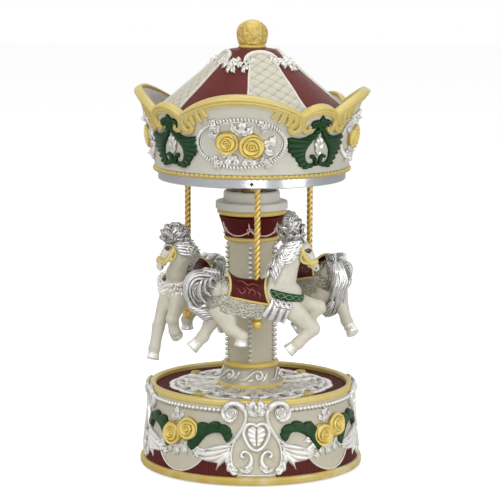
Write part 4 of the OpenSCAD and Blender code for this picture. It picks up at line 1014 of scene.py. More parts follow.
@dataclass
class Base:
    """The round drum with its deck: cartouches, rose pairs, leaf arches, pearls and the deck's acanthus."""

    cartouche_turn: float = 3.0
    rose_turn: float = 48.0
    pearl_radius: float = 1.08
    pearls: int = 140
    pearl_z: float = 32.5
    lobe_radius: float = 15.4
    lobe_z: float = 19.6
    lobe_x: float = 36.5
    plate_radius: float = 35.0
    plate_bore: float = 14.2
    pearl_gap: float = 17.2

    def cartouche(self) -> list[Relief]:
        """The silver straps, scrolls, crest and wings of one cartouche, drawn about its middle.

        Returns:
            The reliefs.
        """
        strap = spline([(16.6, 16.9), (12.8, 17.7), (10.3, 19.5), (8.2, 22.0), (6.4, 24.8), (5.1, 27.6), (4.6, 30.2),
                        (5.0, 33.0), (6.5, 35.1), (8.9, 36.2), (11.6, 35.9), (13.8, 34.0), (14.5, 31.4), (13.6, 29.2),
                        (11.7, 28.1), (9.9, 28.5)], 110)
        inner = spline([(4.3, 28.4), (5.6, 25.2), (7.6, 21.8), (9.5, 19.3), (10.4, 16.8), (10.9, 13.7), (10.8, 10.7),
                        (10.0, 8.4), (8.2, 6.6)], 50)
        belly = spline([(11.2, 12.0), (11.3, 9.2), (10.2, 6.6), (7.8, 5.3)], 34)
        small = spline([(5.4, 12.4), (6.3, 12.9), (6.4, 14.1), (5.1, 15.0), (3.5, 14.5), (2.4, 12.8), (2.2, 10.6),
                        (3.1, 8.7), (4.6, 7.8)], 54)
        side = [
            cord(strap, profile(110, [0, 0.2, 0.4, 0.5, 0.62, 0.75, 1], [0.5, 0.85, 0.9, 1.2, 1.5, 1.15, 1.0]), 2.1,
                 sides=16, ribs=1, rib=0.3),
            rose(3.1, 1.9, 60, rings=20, around=40).moved(11.0, 31.6),
            cord(inner, swell(50, 0.4, 0.55, 0.5), 1.3, sides=10),
            leaf(belly, 2.3, 1.8, lobes=3, depth=0.25, sides=16, lean=0.7),
            cord(small, profile(54, [0, 0.15, 0.5, 0.85, 1], [1.1, 0.8, 0.85, 1.4, 1.0]), 1.7, ribs=1, rib=0.15),
            leaf(spline([(1.5, 8.6), (3.0, 7.0), (5.6, 6.5), (8.0, 8.4)], 24), 1.15, 1.4, lobes=3, depth=0.25),
            cord(spline([(8.0, 5.0), (4.8, 4.75), (0.0, 4.7)], 16), 0.4, 0.8, sides=8),
            cord(spline([(0.0, 26.0), (1.5, 27.1), (3.6, 26.9), (5.1, 25.0), (5.5, 22.6), (4.1, 18.9), (2.2, 16.4),
                         (0.0, 15.4)], 44), 1.0, 1.8, ribs=1, rib=0.3),
            fan([(0.12, 25.0), (0.12, 22.4), (0.12, 19.8), (0.12, 17.2)],
                [(0.9, 25.9), (2.6, 25.9), (3.9, 24.3), (3.7, 21.6), (2.3, 18.9), (0.5, 17.0)], 5, 1.2, 0.35, rows=44),
        ]
        wing = (([(10.8, 17.3), (15.5, 16.5), (19.5, 15.6), (24.2, 14.8)], 1.35),
                ([(11.4, 16.4), (16.0, 14.5), (20.5, 13.3), (25.0, 12.9), (28.6, 14.2)], 1.7),
                ([(12.0, 15.2), (16.0, 12.6), (20.0, 11.2), (24.0, 11.0), (27.2, 12.4)], 1.5),
                ([(11.8, 14.8), (13.8, 12.2), (16.6, 10.4), (20.2, 9.7)], 1.6),
                ([(11.6, 15.8), (13.8, 13.0), (16.0, 9.8), (17.8, 6.4)], 1.55),
                ([(11.2, 14.8), (12.6, 11.8), (13.2, 8.4)], 1.5))
        side += [cord(spline(p, 30), swell(30, 0.6, w, 0.2, 0.5), 1.7, sides=16, ribs=1, rib=0.4) for p, w in wing]
        crest = sprays(((0, 33.2, (72, 108), 5.0, 1.7, 1.9), (0, 33.2, (36, 144), 5.4, 1.7, 1.7),
                        (0, 33.2, (4, 176), 4.3, 1.5, 1.5), (0, 33.4, (-26, 206), 4.6, 1.5, 1.5),
                        (0, 33.4, (-90, -64, -116), 3.8, 1.6, 1.6)))
        return both(side) + crest + [blossom(2.1, 2.4).moved(0, 33.6)]

    def rose_leaves(self) -> list[Relief]:
        """The silver leaves and small flowers round one pair of roses, drawn about their middle.

        Returns:
            The reliefs.
        """
        out = sprays(((-3.4, 16.2, (248, 278), 6.2, 1.6), (4.4, 17.6, (-34, -62, -88), 6.6, 1.6),
                      (-7.8, 16.8, (170, 198, 226), 7.2, 1.8), (0.4, 15.8, (262, 300), 5.4, 1.4),
                      (-1.9, 26.2, (58, 88, 118, 146), 5.2, 1.4), (8.8, 15.4, (-12, -42), 4.6, 1.3)))
        out += blossoms(((1.8, 1.4, -11.6, 12.2, 10), (1.6, 1.4, 9.8, 12.6, 40), (1.5, 1.3, -8.6, 11.4, 20),
                         (1.4, 1.2, -14.6, 13.6), (1.4, 1.3, -2.2, 30.6), (1.3, 1.2, 12.8, 14.2)))
        a = np.radians(np.linspace(202, 338, 40))
        line = np.stack([self.lobe_radius * np.cos(a), self.lobe_z + self.lobe_radius * np.sin(a)], axis=1)
        return [*out, cord(line, 0.38, 0.65, sides=8)]

    def spandrel(self) -> Relief:
        """The burgundy ground beside a cartouche: a thin sheet from the foot band up to the lobe's circle.

        Its face carries fine upright ribs, a cosine of the length along it.

        Returns:
            The relief.
        """
        x = np.linspace(8.6, 34.4, 130)
        drop = np.maximum(self.lobe_radius**2 - np.minimum(x - self.lobe_x, 0) ** 2, 0)
        top = np.where(x > self.lobe_x - self.lobe_radius, self.lobe_z - np.sqrt(drop), 14.0)
        top = np.minimum(np.minimum(top, 14.0), 4.6 + (x - 8.2) * 2.6)
        share = np.concatenate([[0, 0], np.linspace(0.1, 0.9, 7), [1, 1]])
        lift = np.concatenate([[-0.3], np.full(9, 0.28), [-0.3]])
        y = FOOT_H - 0.2 + (np.maximum(top, FOOT_H) - FOOT_H + 0.2)[:, None] * share[None, :]
        rib = np.cos(x * 2 * np.pi / 1.3)[:, None] * (lift > 0)[None, :]
        points = np.stack([np.repeat(x[:, None], 11, axis=1), y, lift[None] + 0.12 * rib], axis=2)
        # Painted shade in the troughs between the ribs.
        return Relief(points, np.clip(0.1 - 0.5 * rib, 0, 1))

    def arch(self) -> list[Relief]:
        """The green acanthus that arches from the roses towards the cartouche, with its hooked tip.

        Returns:
            The relief, alone in a list.
        """
        lower = [(29.6, 13.2), (28.3, 14.2), (26.9, 15.6), (24.6, 18.3), (22.4, 20.7), (19.4, 22.2), (16.6, 22.6),
                 (15.2, 21.9), (14.4, 20.6), (13.5, 19.0)]
        upper = [(31.0, 14.6), (31.4, 17.0), (30.2, 20.0), (28.6, 23.4), (26.4, 26.0), (23.0, 26.6), (19.0, 27.3),
                 (15.4, 27.2), (12.2, 25.4), (10.4, 23.2), (11.0, 20.8), (12.5, 18.7)]
        return [fan(lower, upper, 6, 1.8, 1.3, rows=110, cols=12, crease=0.12)]

    def deck_plate(self) -> Relief:
        """The deck's scalloped plate: a ring whose edge swings out at each cartouche, with curved feathering on it.

        Round the ring its outer radius is a constant plus a cosine of four turns and the root of an absolute sine
        for the scallops; the feathering is a cosine whose phase grows with the angle off a cartouche and falls with the
        distance out, and a groove runs just inside the edge.

        Returns:
            The relief, in space.
        """
        count = 720
        a = np.radians(np.arange(count) * 360 / count)[:, None]
        v = np.linspace(0, 1, 44)[None, :]
        off = (np.degrees(a) - self.cartouche_turn + 45) % 90 - 45
        edge = self.plate_radius + 1.3 * np.cos(np.radians(4 * off)) + 1.1 * np.abs(np.sin(np.radians(off * 9))) ** 0.6
        r = self.plate_bore + (edge - self.plate_bore) * v
        phase = 2 * np.pi * (2.3 * np.abs(off) / 45 * (0.5 + v) - 1.5 * v**1.6)
        wave = 0.5 + 0.5 * np.cos(phase)
        feather = 0.5 + 0.5 * np.cos(phase * 3 + 5 * v)
        rim = np.exp(-(((v - 0.87) / 0.03) ** 2))
        inside = np.clip((0.86 - v) / 0.05, 0, 1)
        top = np.clip((1 - v) / 0.05, 0, 1) ** 0.5 * (0.7 + inside * (0.95 * wave**1.5 - 0.3 * feather) - 0.5 * rim)
        up = np.concatenate([top, np.full((count, 2), -0.25)], axis=1)
        out = np.concatenate([r, edge - 0.3, np.full((count, 1), self.plate_bore + 0.2)], axis=1)
        points = round_axis(out, a, DECK_TOP + up)
        # Painted shade in the troughs of the waves and feathering and in the groove inside the edge.
        recess = np.clip(rim + inside * (1.3 * (1 - wave) ** 1.6 + 0.5 * feather * (1 - wave)), 0, 1)
        return Relief(points, np.concatenate([recess, np.ones((count, 2))], axis=1))

    def deck_leaves(self) -> list[Relief]:
        """One quarter of the deck's silver acanthus, with x across and y the distance from the axis.

        Returns:
            The reliefs.
        """
        side = [leaf(spline([(2.4, 15.4), (6.4, 21.6), (8.6, 27.0), (9.6, 31.6)], 30), 3.0, 1.5, lobes=3),
                leaf(spline([(5.4, 15.0), (11.4, 19.0), (15.4, 23.6), (17.2, 27.6)], 30), 2.8, 1.5, lobes=3),
                cord(spline([(2.0, 33.4), (6.0, 32.0), (9.4, 28.6), (13.6, 27.4), (18.0, 28.4), (22.0, 26.0)], 40), 0.7,
                     1.5, ribs=1),
                cord(curl((5.8, 28.6), 2.4, 0.7, -60, 330), 0.6, 1.5, ribs=1),
                cord(spline([(3.2, 16), (3.4, 22), (6.4, 27.4)], 20), 0.6, 1.4)]
        middle = [leaf(spline([(0, 15.4), (0.3, 22), (0, 32.6)], 40), 3.4, 1.6, lobes=4)]
        return both(side) + middle

    def build(self) -> None:
        """Makes every piece of the base."""
        fronts = self.cartouche_turn + quarter_turns()
        pairs = self.rose_turn + quarter_turns()
        work = Casting("cast_scrollwork").lay(DRUM, self.cartouche(), fronts).lay(DRUM, self.rose_leaves(), pairs)
        work.build(SCROLL_SILVER, "base", "silver_paint", ["base_scrollwork"])
        Casting("painted_spandrels").lay(DRUM, both([self.spandrel()]), fronts).build(
            BURGUNDY, "base", "burgundy_paint", ["base_lower_panels"], sharp=40)
        Casting("cast_leaf_arches").lay(DRUM, both(self.arch()), fronts).build(
            GREEN, "base", "green_paint", ["base_leaves"])
        roses = [rose(5.2, 3.4, 40).moved(-4.3, 19.9), rose(5.2, 3.4, 200).moved(4.8, 22.9)]
        blooms = Casting("cast_base_roses").lay(DRUM, roses, pairs)
        deck_rose = [rose(2.5, 1.7, 10, rings=12, around=36).moved(0, 34.2)] + spray(0, 34.2, (15, 165), 4.4, 1.0, 0.8)
        blooms.lay(DECK, deck_rose, pairs).build(ROSE_GOLD, "base", "gold_paint", ["base_roses"])
        a = np.radians(np.arange(self.pearls) * 360 / self.pearls)
        off = np.abs((np.degrees(a) - self.cartouche_turn + 45) % 90 - 45)
        r = float(drum_radius(np.array(self.pearl_z))) + 0.45
        centres = round_axis(r, a[off > self.pearl_gap], self.pearl_z)
        Casting("pearl_string").add_balls(centres, self.pearl_radius).build(
            PEARL, "base", "silver_paint", ["base_bead_string"])
        Casting("deck_acanthus_relief").add(self.deck_plate(), ring=True).lay(DECK, self.deck_leaves(), fronts).build(
            DECK_SILVER, "base", "silver_paint", ["deck_acanthus"])


# ---------------------------------------------------------------- the column


@dataclass
class Column:
    """The column's own ornament: the running scroll on its foot, the fluted bell and its swags."""

    flutes: int = 84
    bell_bore: float = 8.0
    pearl_span: tuple[float, float] = (48.2, 101.0)
    pearl_step: float = 2.2
    pearl_radius: float = 0.92
    corner_radius: float = 12.25
    corner_turn: float = -2.0

    def scroll_unit(self) -> list[Relief]:
        """One wave of the running scroll, with the leaf that fills it.

        Returns:
            The reliefs.
        """
        wave = spline([(-6.6, 39.3), (-4.2, 39.6), (-1.8, 41.6), (0.6, 43.3), (3.0, 42.9), (3.7, 41.0), (2.3, 39.9),
                       (1.0, 40.7), (1.4, 42.0)], 48)
        sprig = leaf(spline([(3.6, 39.0), (5.2, 40.8), (6.6, 43.4)], 16), 0.8, 0.5, lobes=3, sides=12)
        tuft = leaf(spline([(-2.6, 39.0), (-1.4, 39.6), (-0.2, 39.2)], 12), 0.6, 0.5, lobes=2, sides=10)
        return [cord(wave, swell(48, 0.35, 0.7, 0.6, 0.6), 0.8, sides=12, ribs=1, rib=0.25), sprig, tuft,
                blossom(0.7, 0.6).moved(2.2, 41.2)]

    def bell(self) -> Relief:
        """The fluted bell: the capital's profile with a rounded groove, a cosine to a power, cut many times round it.

        Returns:
            The relief, in space.
        """
        count, rows = self.flutes * 6, 12
        a = np.radians(np.arange(count) * 360 / count)[:, None]
        z = np.linspace(CAPITAL_Z, CAPITAL_TOP, rows)[None, :]
        groove = np.clip(np.cos(self.flutes * a), 0, 1) ** 0.8
        r = CAPITAL.radius(z) - 0.26 * groove * np.sin(np.pi * (z - CAPITAL_Z) / CAPITAL_H) ** 0.3
        inner = round_axis(self.bell_bore, a, np.array([[CAPITAL_TOP, CAPITAL_Z]]))
        # Painted shade in the flutes.
        recess = np.concatenate([groove * np.ones((1, rows)), np.zeros((count, 2))], axis=1)
        return Relief(np.concatenate([round_axis(r, a, z), inner], axis=1), recess)

    def swag(self) -> list[Relief]:
        """One swag of the bell: a hanging cord, and at its end a bow with an upright sprig.

        Returns:
            The reliefs.
        """
        x = np.linspace(-6.5, 6.5, 30)
        line = np.stack([x, 104.3 + 2.5 * (x / 6.5) ** 2], axis=1)
        bow = [cord(curl((6.5 + s * 0.7, 107.0), 0.6, 0.6, 90 - s * 90, 90 + s * 250, 18), 0.2, 0.5, sides=8)
               for s in (-1, 1)]
        tails = [cord(spline([(6.5, 106.8), (6.5 + s * 0.9, 105.8), (6.5 + s * 1.1, 105.0)], 12), 0.25, 0.4, sides=8)
                 for s in (-1, 1)]
        sprig = cord(spline([(6.5, 106.8), (6.4, 108.6), (6.6, 110.2)], 12), swell(12, 0.3, 0.45, 0.15), 0.6, sides=8)
        return [cord(line, 0.34, 0.6, sides=8), sprig, *bow, *tails]

    def build(self) -> None:
        """Makes every piece of the column."""
        turns = self.corner_turn + quarter_turns(6)
        Casting("foot_running_scroll").lay(FOOT, self.scroll_unit(), turns + 8).build(SILVER, "base", "silver_paint")
        Casting("fluted_bell").add(self.bell(), ring=True).build(
            CAPITAL_BURGUNDY, "base", "burgundy_paint", ["capital"], sharp=50)
        strings = Casting("corner_pearls")
        z = np.arange(*self.pearl_span, self.pearl_step)
        for turn in np.radians(turns):
            strings.add_balls(round_axis(self.corner_radius, turn, z), self.pearl_radius, 12, 8)
        strings.build(PEARL, "base", "silver_paint", ["column_beads"])
        Casting("bell_swags").lay(CAPITAL, self.swag(), turns - 30).build(
            SWAG_PINK, "base", "silver_paint", ["capital_swags"])


# ---------------------------------------------------------------- the canopy


@dataclass
class Canopy:
    """The turning canopy: crown, mouldings, medallions, leaf lyres, roof panels and finial."""

    turn: float = -6.5
    half_large: float = 33.4
    rim_beads: int = 108
    rim_radius: float = 43.0
    rim_z: float = 133.95
    edge_radius: float = 48.6
    floor_radius: float = 41.78
    mark_z: float = 131.0
    wreath: tuple[float, float] = (19.4, 10.6)
    wreath_z: float = 149.0
    roof_turn: float = 16.7
    lattice_half: float = 20.0
    lyre_turn: float = 46.4

    def top_line(self, a: Array) -> Array:
        """Height of the crown's edge: large arches and small arches, whichever is higher.

        Each arch is a circle's top, seen flat from in front of its middle: z = peak - R + sqrt(R^2 - x^2).

        Args:
            a: Azimuths in degrees.

        Returns:
            The heights.
        """
        best = np.full_like(a, -1e3)
        for middle, half, peak, rise in ((0.0, 27.2, CROWN_TOP, 8.5), (45.0, 10.0, 164.8, 3.8)):
            big = (half**2 + rise**2) / (2 * rise)
            off = (a - self.turn - middle + 45) % 90 - 45
            x = self.edge_radius * np.sin(np.radians(off))
            z = peak - big + np.sqrt(np.maximum(big**2 - x**2, 0))
            best = np.maximum(best, np.where(np.abs(x) < big, z, -1e3))
        return best

    def moulding(self) -> Relief:
        """The gold moulding: a section of three rolls, carried along the crown's edge round the axis.

        Returns:
            The relief, in space.
        """
        a = np.arange(0, 360, 0.5)
        drop = np.array([0.9, 0.25, 0, 0.1, 0.45, 0.95, 1.35, 1.6, 1.9, 2.4, 2.8, 3.1, 3.5, 3.9, 4.2, 4.3, 1.2])
        lift = np.array([-2.45, -2.4, -1.4, 0.4, 1.25, 1.6, 1.35, 0.85, 1.25, 1.4, 1.1, 0.7, 1.0, 0.95, 0.4, -0.3,
                         -2.3])
        # Painted shade between the rolls and a painted shadow line along the lower edge.
        dark = np.array([0.1, 0, 0, 0, 0, 0, 0.2, 0.5, 0.2, 0, 0.2, 0.5, 0.1, 0.1, 0.6, 0.8, 0.5])
        z = self.top_line(a)[:, None] - drop[None, :]
        r, dr = crown_radius(z), (crown_radius(z + 0.01) - crown_radius(z)) / 0.01
        size = np.hypot(dr, 1)
        points = round_axis(r + lift / size, np.radians(a)[:, None], z - dr * lift / size)
        return Relief(points, dark[None] * np.ones((len(a), 1)))

    def volutes(self) -> list[Relief]:
        """The scrolls and fingers where a large arch meets a small one, with x towards the small arch.

        Returns:
            The reliefs.
        """
        paths = [([(-1.5, 160.6), (-0.6, 158.8), (-0.3, 156.2), (-1.5, 154.0), (-3.6, 153.5), (-5.0, 154.9),
                   (-4.6, 156.8), (-3.2, 156.9)], 1.35, 2.1),
                 ([(-3.8, 161.6), (-2.9, 159.8), (-2.8, 157.4), (-3.4, 155.8)], 1.3, 1.6),
                 ([(-6.2, 162.4), (-5.6, 160.2), (-6.1, 157.6), (-7.0, 156.6)], 1.35, 1.8),
                 ([(-8.8, 163.6), (-8.6, 161.2), (-9.4, 159.0), (-10.6, 158.0)], 1.35, 1.7),
                 ([(-11.6, 164.4), (-11.8, 162.4), (-12.8, 160.8), (-14.0, 160.4)], 1.2, 1.5),
                 ([(4.0, 161.4), (1.7, 159.9), (0.7, 157.4), (1.4, 154.6), (3.2, 153.6), (4.4, 154.8), (3.7, 156.2)],
                  1.2, 1.9)]
        return [cord(spline(p, 34), swell(34, w, w * 1.15, w * 0.85), h, sides=16, ribs=2, rib=0.35)
                for p, w, h in paths]

    def medallion(self) -> list[Relief]:
        """The silver oval wreath of short strokes with flower clusters and leaf sprays, drawn about its middle.

        Returns:
            The reliefs.
        """
        t = np.radians(np.arange(0, 360, 4.6))
        out = []
        for c, s in zip(np.cos(t), np.sin(t)):
            spot = np.array([self.wreath[0] * c + 0.2, self.wreath_z + self.wreath[1] * s])
            ray = np.array([c / self.wreath[0], s / self.wreath[1]])
            ray = ray / np.linalg.norm(ray) + np.array([-s, c]) * 0.35
            stroke = spot + ray * np.array([[-0.8], [-0.25], [0.25], [0.8]])
            out.append(cord(stroke, np.array([0.3, 0.5, 0.5, 0.3]), 1.5, sides=6))
        t = np.radians(np.linspace(0, 360, 61))
        thin = np.stack([0.2 + 18.0 * np.cos(t), self.wreath_z + 9.3 * np.sin(t)], axis=1)
        out.append(cord(thin, 0.25, 0.6, sides=6))
        for x, y, turn in ((-11.4, 156.6, 0), (10.2, 156.4, 30), (-10.2, 140.6, 15), (11.0, 141.0, 50)):
            out += spray(x, y, [turn + 72 * k for k in range(5)], 3.3, 1.0, 1.8)
            out += blossoms(((1.5, 2.6, x, y, turn),))
        return out + sprays(((0.6, 153.2, (34, 66, 98, 130), 6.0, 1.9, 1.8), (9.6, 148.6, (-38, -2, 34), 6.8, 2.0, 1.8),
                             (-3.4, 143.8, (190, 222, 254, 288), 5.4, 1.8, 1.7),
                             (3.4, 142.8, (256, 296, 336), 4.8, 1.6, 1.6), (-9.8, 151.4, (104, 140), 4.6, 1.5, 1.6)))

    def lyre(self) -> list[Relief]:
        """The green leaf lyre of a small panel, drawn about its middle.

        Returns:
            The reliefs.
        """
        near = [(0.3, 155.0), (0.4, 153.2), (1.1, 151.8), (2.0, 150.3), (3.3, 148.8), (4.9, 147.2), (6.2, 145.2),
                (6.6, 142.8), (5.9, 140.9), (4.2, 139.7), (1.7, 139.8)]
        far = [(1.7, 155.4), (4.6, 152.5), (9.8, 150.9), (15.3, 151.4), (15.6, 148.2), (14.9, 145.4), (12.9, 143.3),
               (10.8, 141.2), (9.1, 138.6), (6.2, 137.2), (1.2, 138.3)]
        hook = spline([(0.9, 138.6), (1.3, 140.0), (1.6, 141.6), (2.6, 142.7), (3.8, 142.3)], 22)
        wing = spline([(0.2, 155.4), (2.2, 157.0), (4.2, 156.4), (5.6, 154.6)], 22)
        tip = spline([(0, 153.6), (0.2, 157), (0, 160.6)], 24)
        side = [fan(near, far, 12, 1.8, 0.9, rows=110, cols=11, crease=0.55), cord(hook, swell(22, 0.9, 0.9, 0.8), 1.8),
                leaf(wing, 1.9, 2.0, lobes=2, depth=0.2, stem=0.9)]
        return both(side) + [leaf(tip, 1.9, 2.0, lobes=2, depth=0.2, stem=0.9)]

    def lattice(self) -> Relief:
        """A quilted roof panel: a slab on the cone whose top swells between diagonal grooves, the product of two sines.

        Its upper edge bows with the square of the angle, to fill the arch of piping over it.

        Returns:
            The relief, in space.
        """
        rows, cols = 90, 150
        a = np.radians(np.linspace(-self.lattice_half, self.lattice_half, rows))[:, None]
        start = 12.0 + 1.1 * (a / a.max()) ** 2
        r = start + (ROOF_R - start) * np.linspace(0, 1, cols)[None, :]
        x, s = a * r, (ROOF_R - r) * math.hypot(1, ROOF_SLOPE)
        pillow = np.abs(np.sin(np.pi * (x / 6.6 + s / 5.2))) * np.abs(np.sin(np.pi * (x / 6.6 - s / 5.2)))
        lift = 0.1 + 0.55 * pillow**0.45
        top = round_axis(r, a, ROOF_EDGE_Z + (ROOF_R - r) * ROOF_SLOPE + lift)
        under_r = np.concatenate([np.full((rows, 1), ROOF_R), np.full((rows, 1), ROOF_R - 3), start], axis=1)
        under = round_axis(under_r, a, np.array([[155.6, 155.6, 181.4]]))
        # Painted shade in the diagonal grooves between the pillows.
        recess = np.concatenate([np.clip(1 - pillow**0.45 * 1.5, 0, 1), np.zeros((rows, 3))], axis=1)
        return Relief(np.concatenate([top, under], axis=1), recess)

    def build_roof(self) -> None:
        """Makes the roof's panels, piping, arch rims, garlands and finial."""
        panels = self.roof_turn + quarter_turns()
        quilts = Casting("quilted_panels")
        slab = self.lattice()
        for turn in np.radians(panels):
            c, s = math.cos(turn), math.sin(turn)
            spin = np.array([[c, s, 0], [-s, c, 0], [0, 0, 1]])
            quilts.add(Relief(slab.points @ spin, slab.recess))
        quilts.build(LATTICE, "canopy", "cream_resin", ["roof_lattice"], sharp=60)
        wavy = np.stack([0.12 * np.sin(np.linspace(0, 14, 60)), np.linspace(158.3, 180.4, 60)], axis=1)
        bow = spline([(-8.3, 180.9), (-6.6, 183.3), (-3.7, 184.9), (0, 185.5), (3.7, 184.9), (6.6, 183.3),
                      (8.3, 180.9)], 60)
        seam, arch = [cord(wavy, 0.5, 0.95, sides=8)], [cord(bow, 0.6, 1.2)]
        piping = Casting("white_piping").lay(ROOF, arch, panels)
        piping.lay(ROOF, seam, panels - self.lattice_half).lay(ROOF, seam, panels + self.lattice_half)
        piping.build(PIPING, "canopy", "cream_resin")
        garland = sprays(((0.0, 180.4, (262, 236), 3.6, 1.2, 1.7), (0.6, 180.6, (302, 338), 4.2, 1.2, 1.6),
                          (-0.6, 180.6, (206, 168), 5.0, 1.3, 1.6), (0.4, 180.8, (74, 30), 2.8, 1.0, 1.6),
                          (5.6, 179.8, (350, 40, 300), 3.0, 1.0, 1.5), (-5.4, 181.4, (140, 196, 100), 3.0, 1.0, 1.5)))
        garland += blossoms(((1.5, 2.3, 0, 180.8), (1.2, 2.0, 3.6, 179.9), (1.2, 2.0, -3.8, 181)))
        corner = both(spray(5.6, 181.4, (100, 140, 60), 2.6, 0.9, 1.2) + blossoms(((1.0, 1.4, 5.6, 181.2),)))
        Casting("roof_garlands").lay(ROOF, garland, panels + 45).lay(ROOF, corner, panels).build(
            SILVER, "canopy", "silver_paint", ["roof_ornaments"])
        self.build_finial()

    def build_finial(self) -> None:
        """Makes the gold bud: a turned profile wrapped in two tiers of leaves."""
        z = np.array([187.0, 188.2, 188.25, 188.6, 188.9, 189.6, 190.6, 193.2, 196.0, 198.0, 198.9, 199.3])
        r = np.array([6.0, 6.0, 5.4, 5.2, 5.45, 5.5, 5.7, 6.1, 5.7, 4.4, 2.7, 0.8])
        body = round_axis(r[:, None], np.radians(np.arange(48) * 7.5), z[:, None])
        bud = Casting("gold_bud").add(Relief(body, np.zeros(body.shape[:2])))
        for top, width, lift in ((192.6, 4.4, 1.0), (194.4, 5.0, 0.72), (196.4, 5.2, 0.5)):
            scale = leaf(spline([(0, 188.6), (0.1, 190.6), (0, top)], 20), width, lift, lobes=1, depth=0.04, stem=0.9)
            bud.lay(FINIAL, [scale], quarter_turns())
        edge = leaf(spline([(0, 188.8), (0.3, 193.4), (0, 197.8)], 34), 3.0, 0.75, lobes=5, depth=0.22, stem=0.9)
        bud.lay(FINIAL, [edge], quarter_turns() + 45)
        band = cord(spline([(-4.2, 189.4), (-1.6, 191.2), (1.8, 194.2), (4.0, 197.4)], 26), swell(26, 0.5, 0.95, 0.5),
                    1.15, sides=16, ribs=2, rib=0.4)
        loop = cord(curl((0, 190.6), 1.5, 1.1, -200, 20), 0.5, 1.0, sides=10)
        bud.lay(FINIAL, [band, band.mirrored(), loop], quarter_turns() + 10)
        bud.build(GOLD, "canopy", "gold_paint", ["finial"])

    def build_rim(self) -> None:
        """Makes the bead rope under the crown, on a thin ring that joins its beads."""
        ring = Casting("crown_bead_rope")
        a = np.radians(np.arange(self.rim_beads) * 360 / self.rim_beads)
        ring.add_balls(round_axis(self.rim_radius, a, self.rim_z), 1.12, 10, 7)
        t = np.radians(np.arange(8) * 45.0)[None, :]
        b = np.radians(np.arange(0, 360, 3.0))[:, None]
        core = round_axis(self.rim_radius + 0.75 * np.cos(t), b, self.rim_z + 0.9 * np.sin(t))
        # The ring between the beads is nearly all painted shade.
        ring.add(Relief(core, np.full(core.shape[:2], 0.9)), ring=True)
        ring.build(EDGE_GOLD, "canopy", "gold_paint", ["crown_bead_ring"])

    def build_mark(self) -> None:
        """Makes the small black diamond and dots on the chrome ring."""
        z = self.mark_z
        mark = [cord(np.array([[0.0, z + 1], [0.0, z], [0.0, z - 1]]), np.array([0.05, 0.9, 0.05]), 0.12, sides=4,
                     sink=0.05)]
        mark += [cord(np.array([[x, z + y + 0.16], [x, z + y - 0.16]]), 0.16, 0.1, sides=6, sink=0.05)
                 for x, y in ((-2.0, 0.35), (2.0, 0.35), (-1.5, 0.0))]
        floor = Ground(lambda z: np.full_like(z, self.floor_radius), lambda z: z)
        Casting("rim_mark").lay(floor, mark, [0.0]).build(BLACK, "canopy", "cover_plastic")

    def build(self) -> None:
        """Makes every piece of the canopy."""
        large = self.turn + quarter_turns()
        small = self.turn + self.lyre_turn + quarter_turns()
        self.build_rim()
        edging = Casting("crown_moulding").add(self.moulding(), ring=True)
        scrolls = self.volutes()
        edging.lay(CROWN, scrolls, large + self.half_large)
        edging.lay(CROWN, [s.mirrored() for s in scrolls], large - self.half_large)
        edging.build(EDGE_GOLD, "canopy", "gold_paint", ["crown_edging"])
        Casting("medallions").lay(CROWN, self.medallion(), large).build(
            SCROLL_SILVER, "canopy", "silver_paint", ["crown_medallions"])
        buds = leaf(spline([(0, 142.6), (0.2, 147), (0, 151.2)], 28), 2.8, 1.6, lobes=3, depth=0.14, lean=0.8, sides=16)
        Casting("lyre_buds").lay(CROWN, [buds], small).build(SILVER, "canopy", "silver_paint")
        Casting("leaf_lyres").lay(CROWN, self.lyre(), small).build(GREEN, "canopy", "green_paint", ["crown_leaves"])
        roses = [rose(5.1, 3.4, 20).moved(-5.5, 149.3), rose(5.5, 3.6, 150).moved(5.1, 147.8)]
        Casting("crown_rose_pairs").lay(CROWN, roses, large).build(
            ROSE_GOLD, "canopy", "gold_paint", ["crown_roses"])
        self.build_mark()
        self.build_roof()


# ---------------------------------------------------------------- the horses


class Chest(Enum):
    """What a horse wears across its chest."""

    BAND = "green band with ribbons"
    GARLAND = "silver garland"


FORE_BENT_OUT = ((12.5, -3.0, -10.0), (24.3, -4.0, -20.8), (17.5, -4.0, -27.2), (13.2, -4.0, -30.6))
FORE_BENT_IN = ((13.5, 3.0, -9.5), (27.6, 3.5, -12.6), (22.0, 3.5, -18.6), (16.6, 3.0, -22.0))
FORE_LONG_OUT = ((13.0, -3.0, -9.0), (20.5, -4.2, -22.0), (24.0, -4.6, -32.0), (25.5, -4.6, -36.4))
FORE_SHORT_IN = ((13.5, 3.0, -9.5), (22.0, 3.5, -18.0), (20.0, 3.5, -24.0), (17.5, 3.5, -26.6))
HIND_TUCK_OUT = ((-16.0, -3.0, -10.0), (-12.0, -4.0, -20.3), (-7.0, -4.0, -23.7), (-7.4, -4.0, -28.0))
HIND_PUSH_IN = ((-15.5, 3.0, -10.0), (-20.5, 3.8, -20.0), (-23.4, 4.0, -25.4), (-28.3, 4.0, -30.4))
SEAT_Z = 87.3  # height of the horses' seats at the middle of their rise
SKEW = (0.577, 0.577, 0.578)  # a direction that no ring or curve of a horse runs along


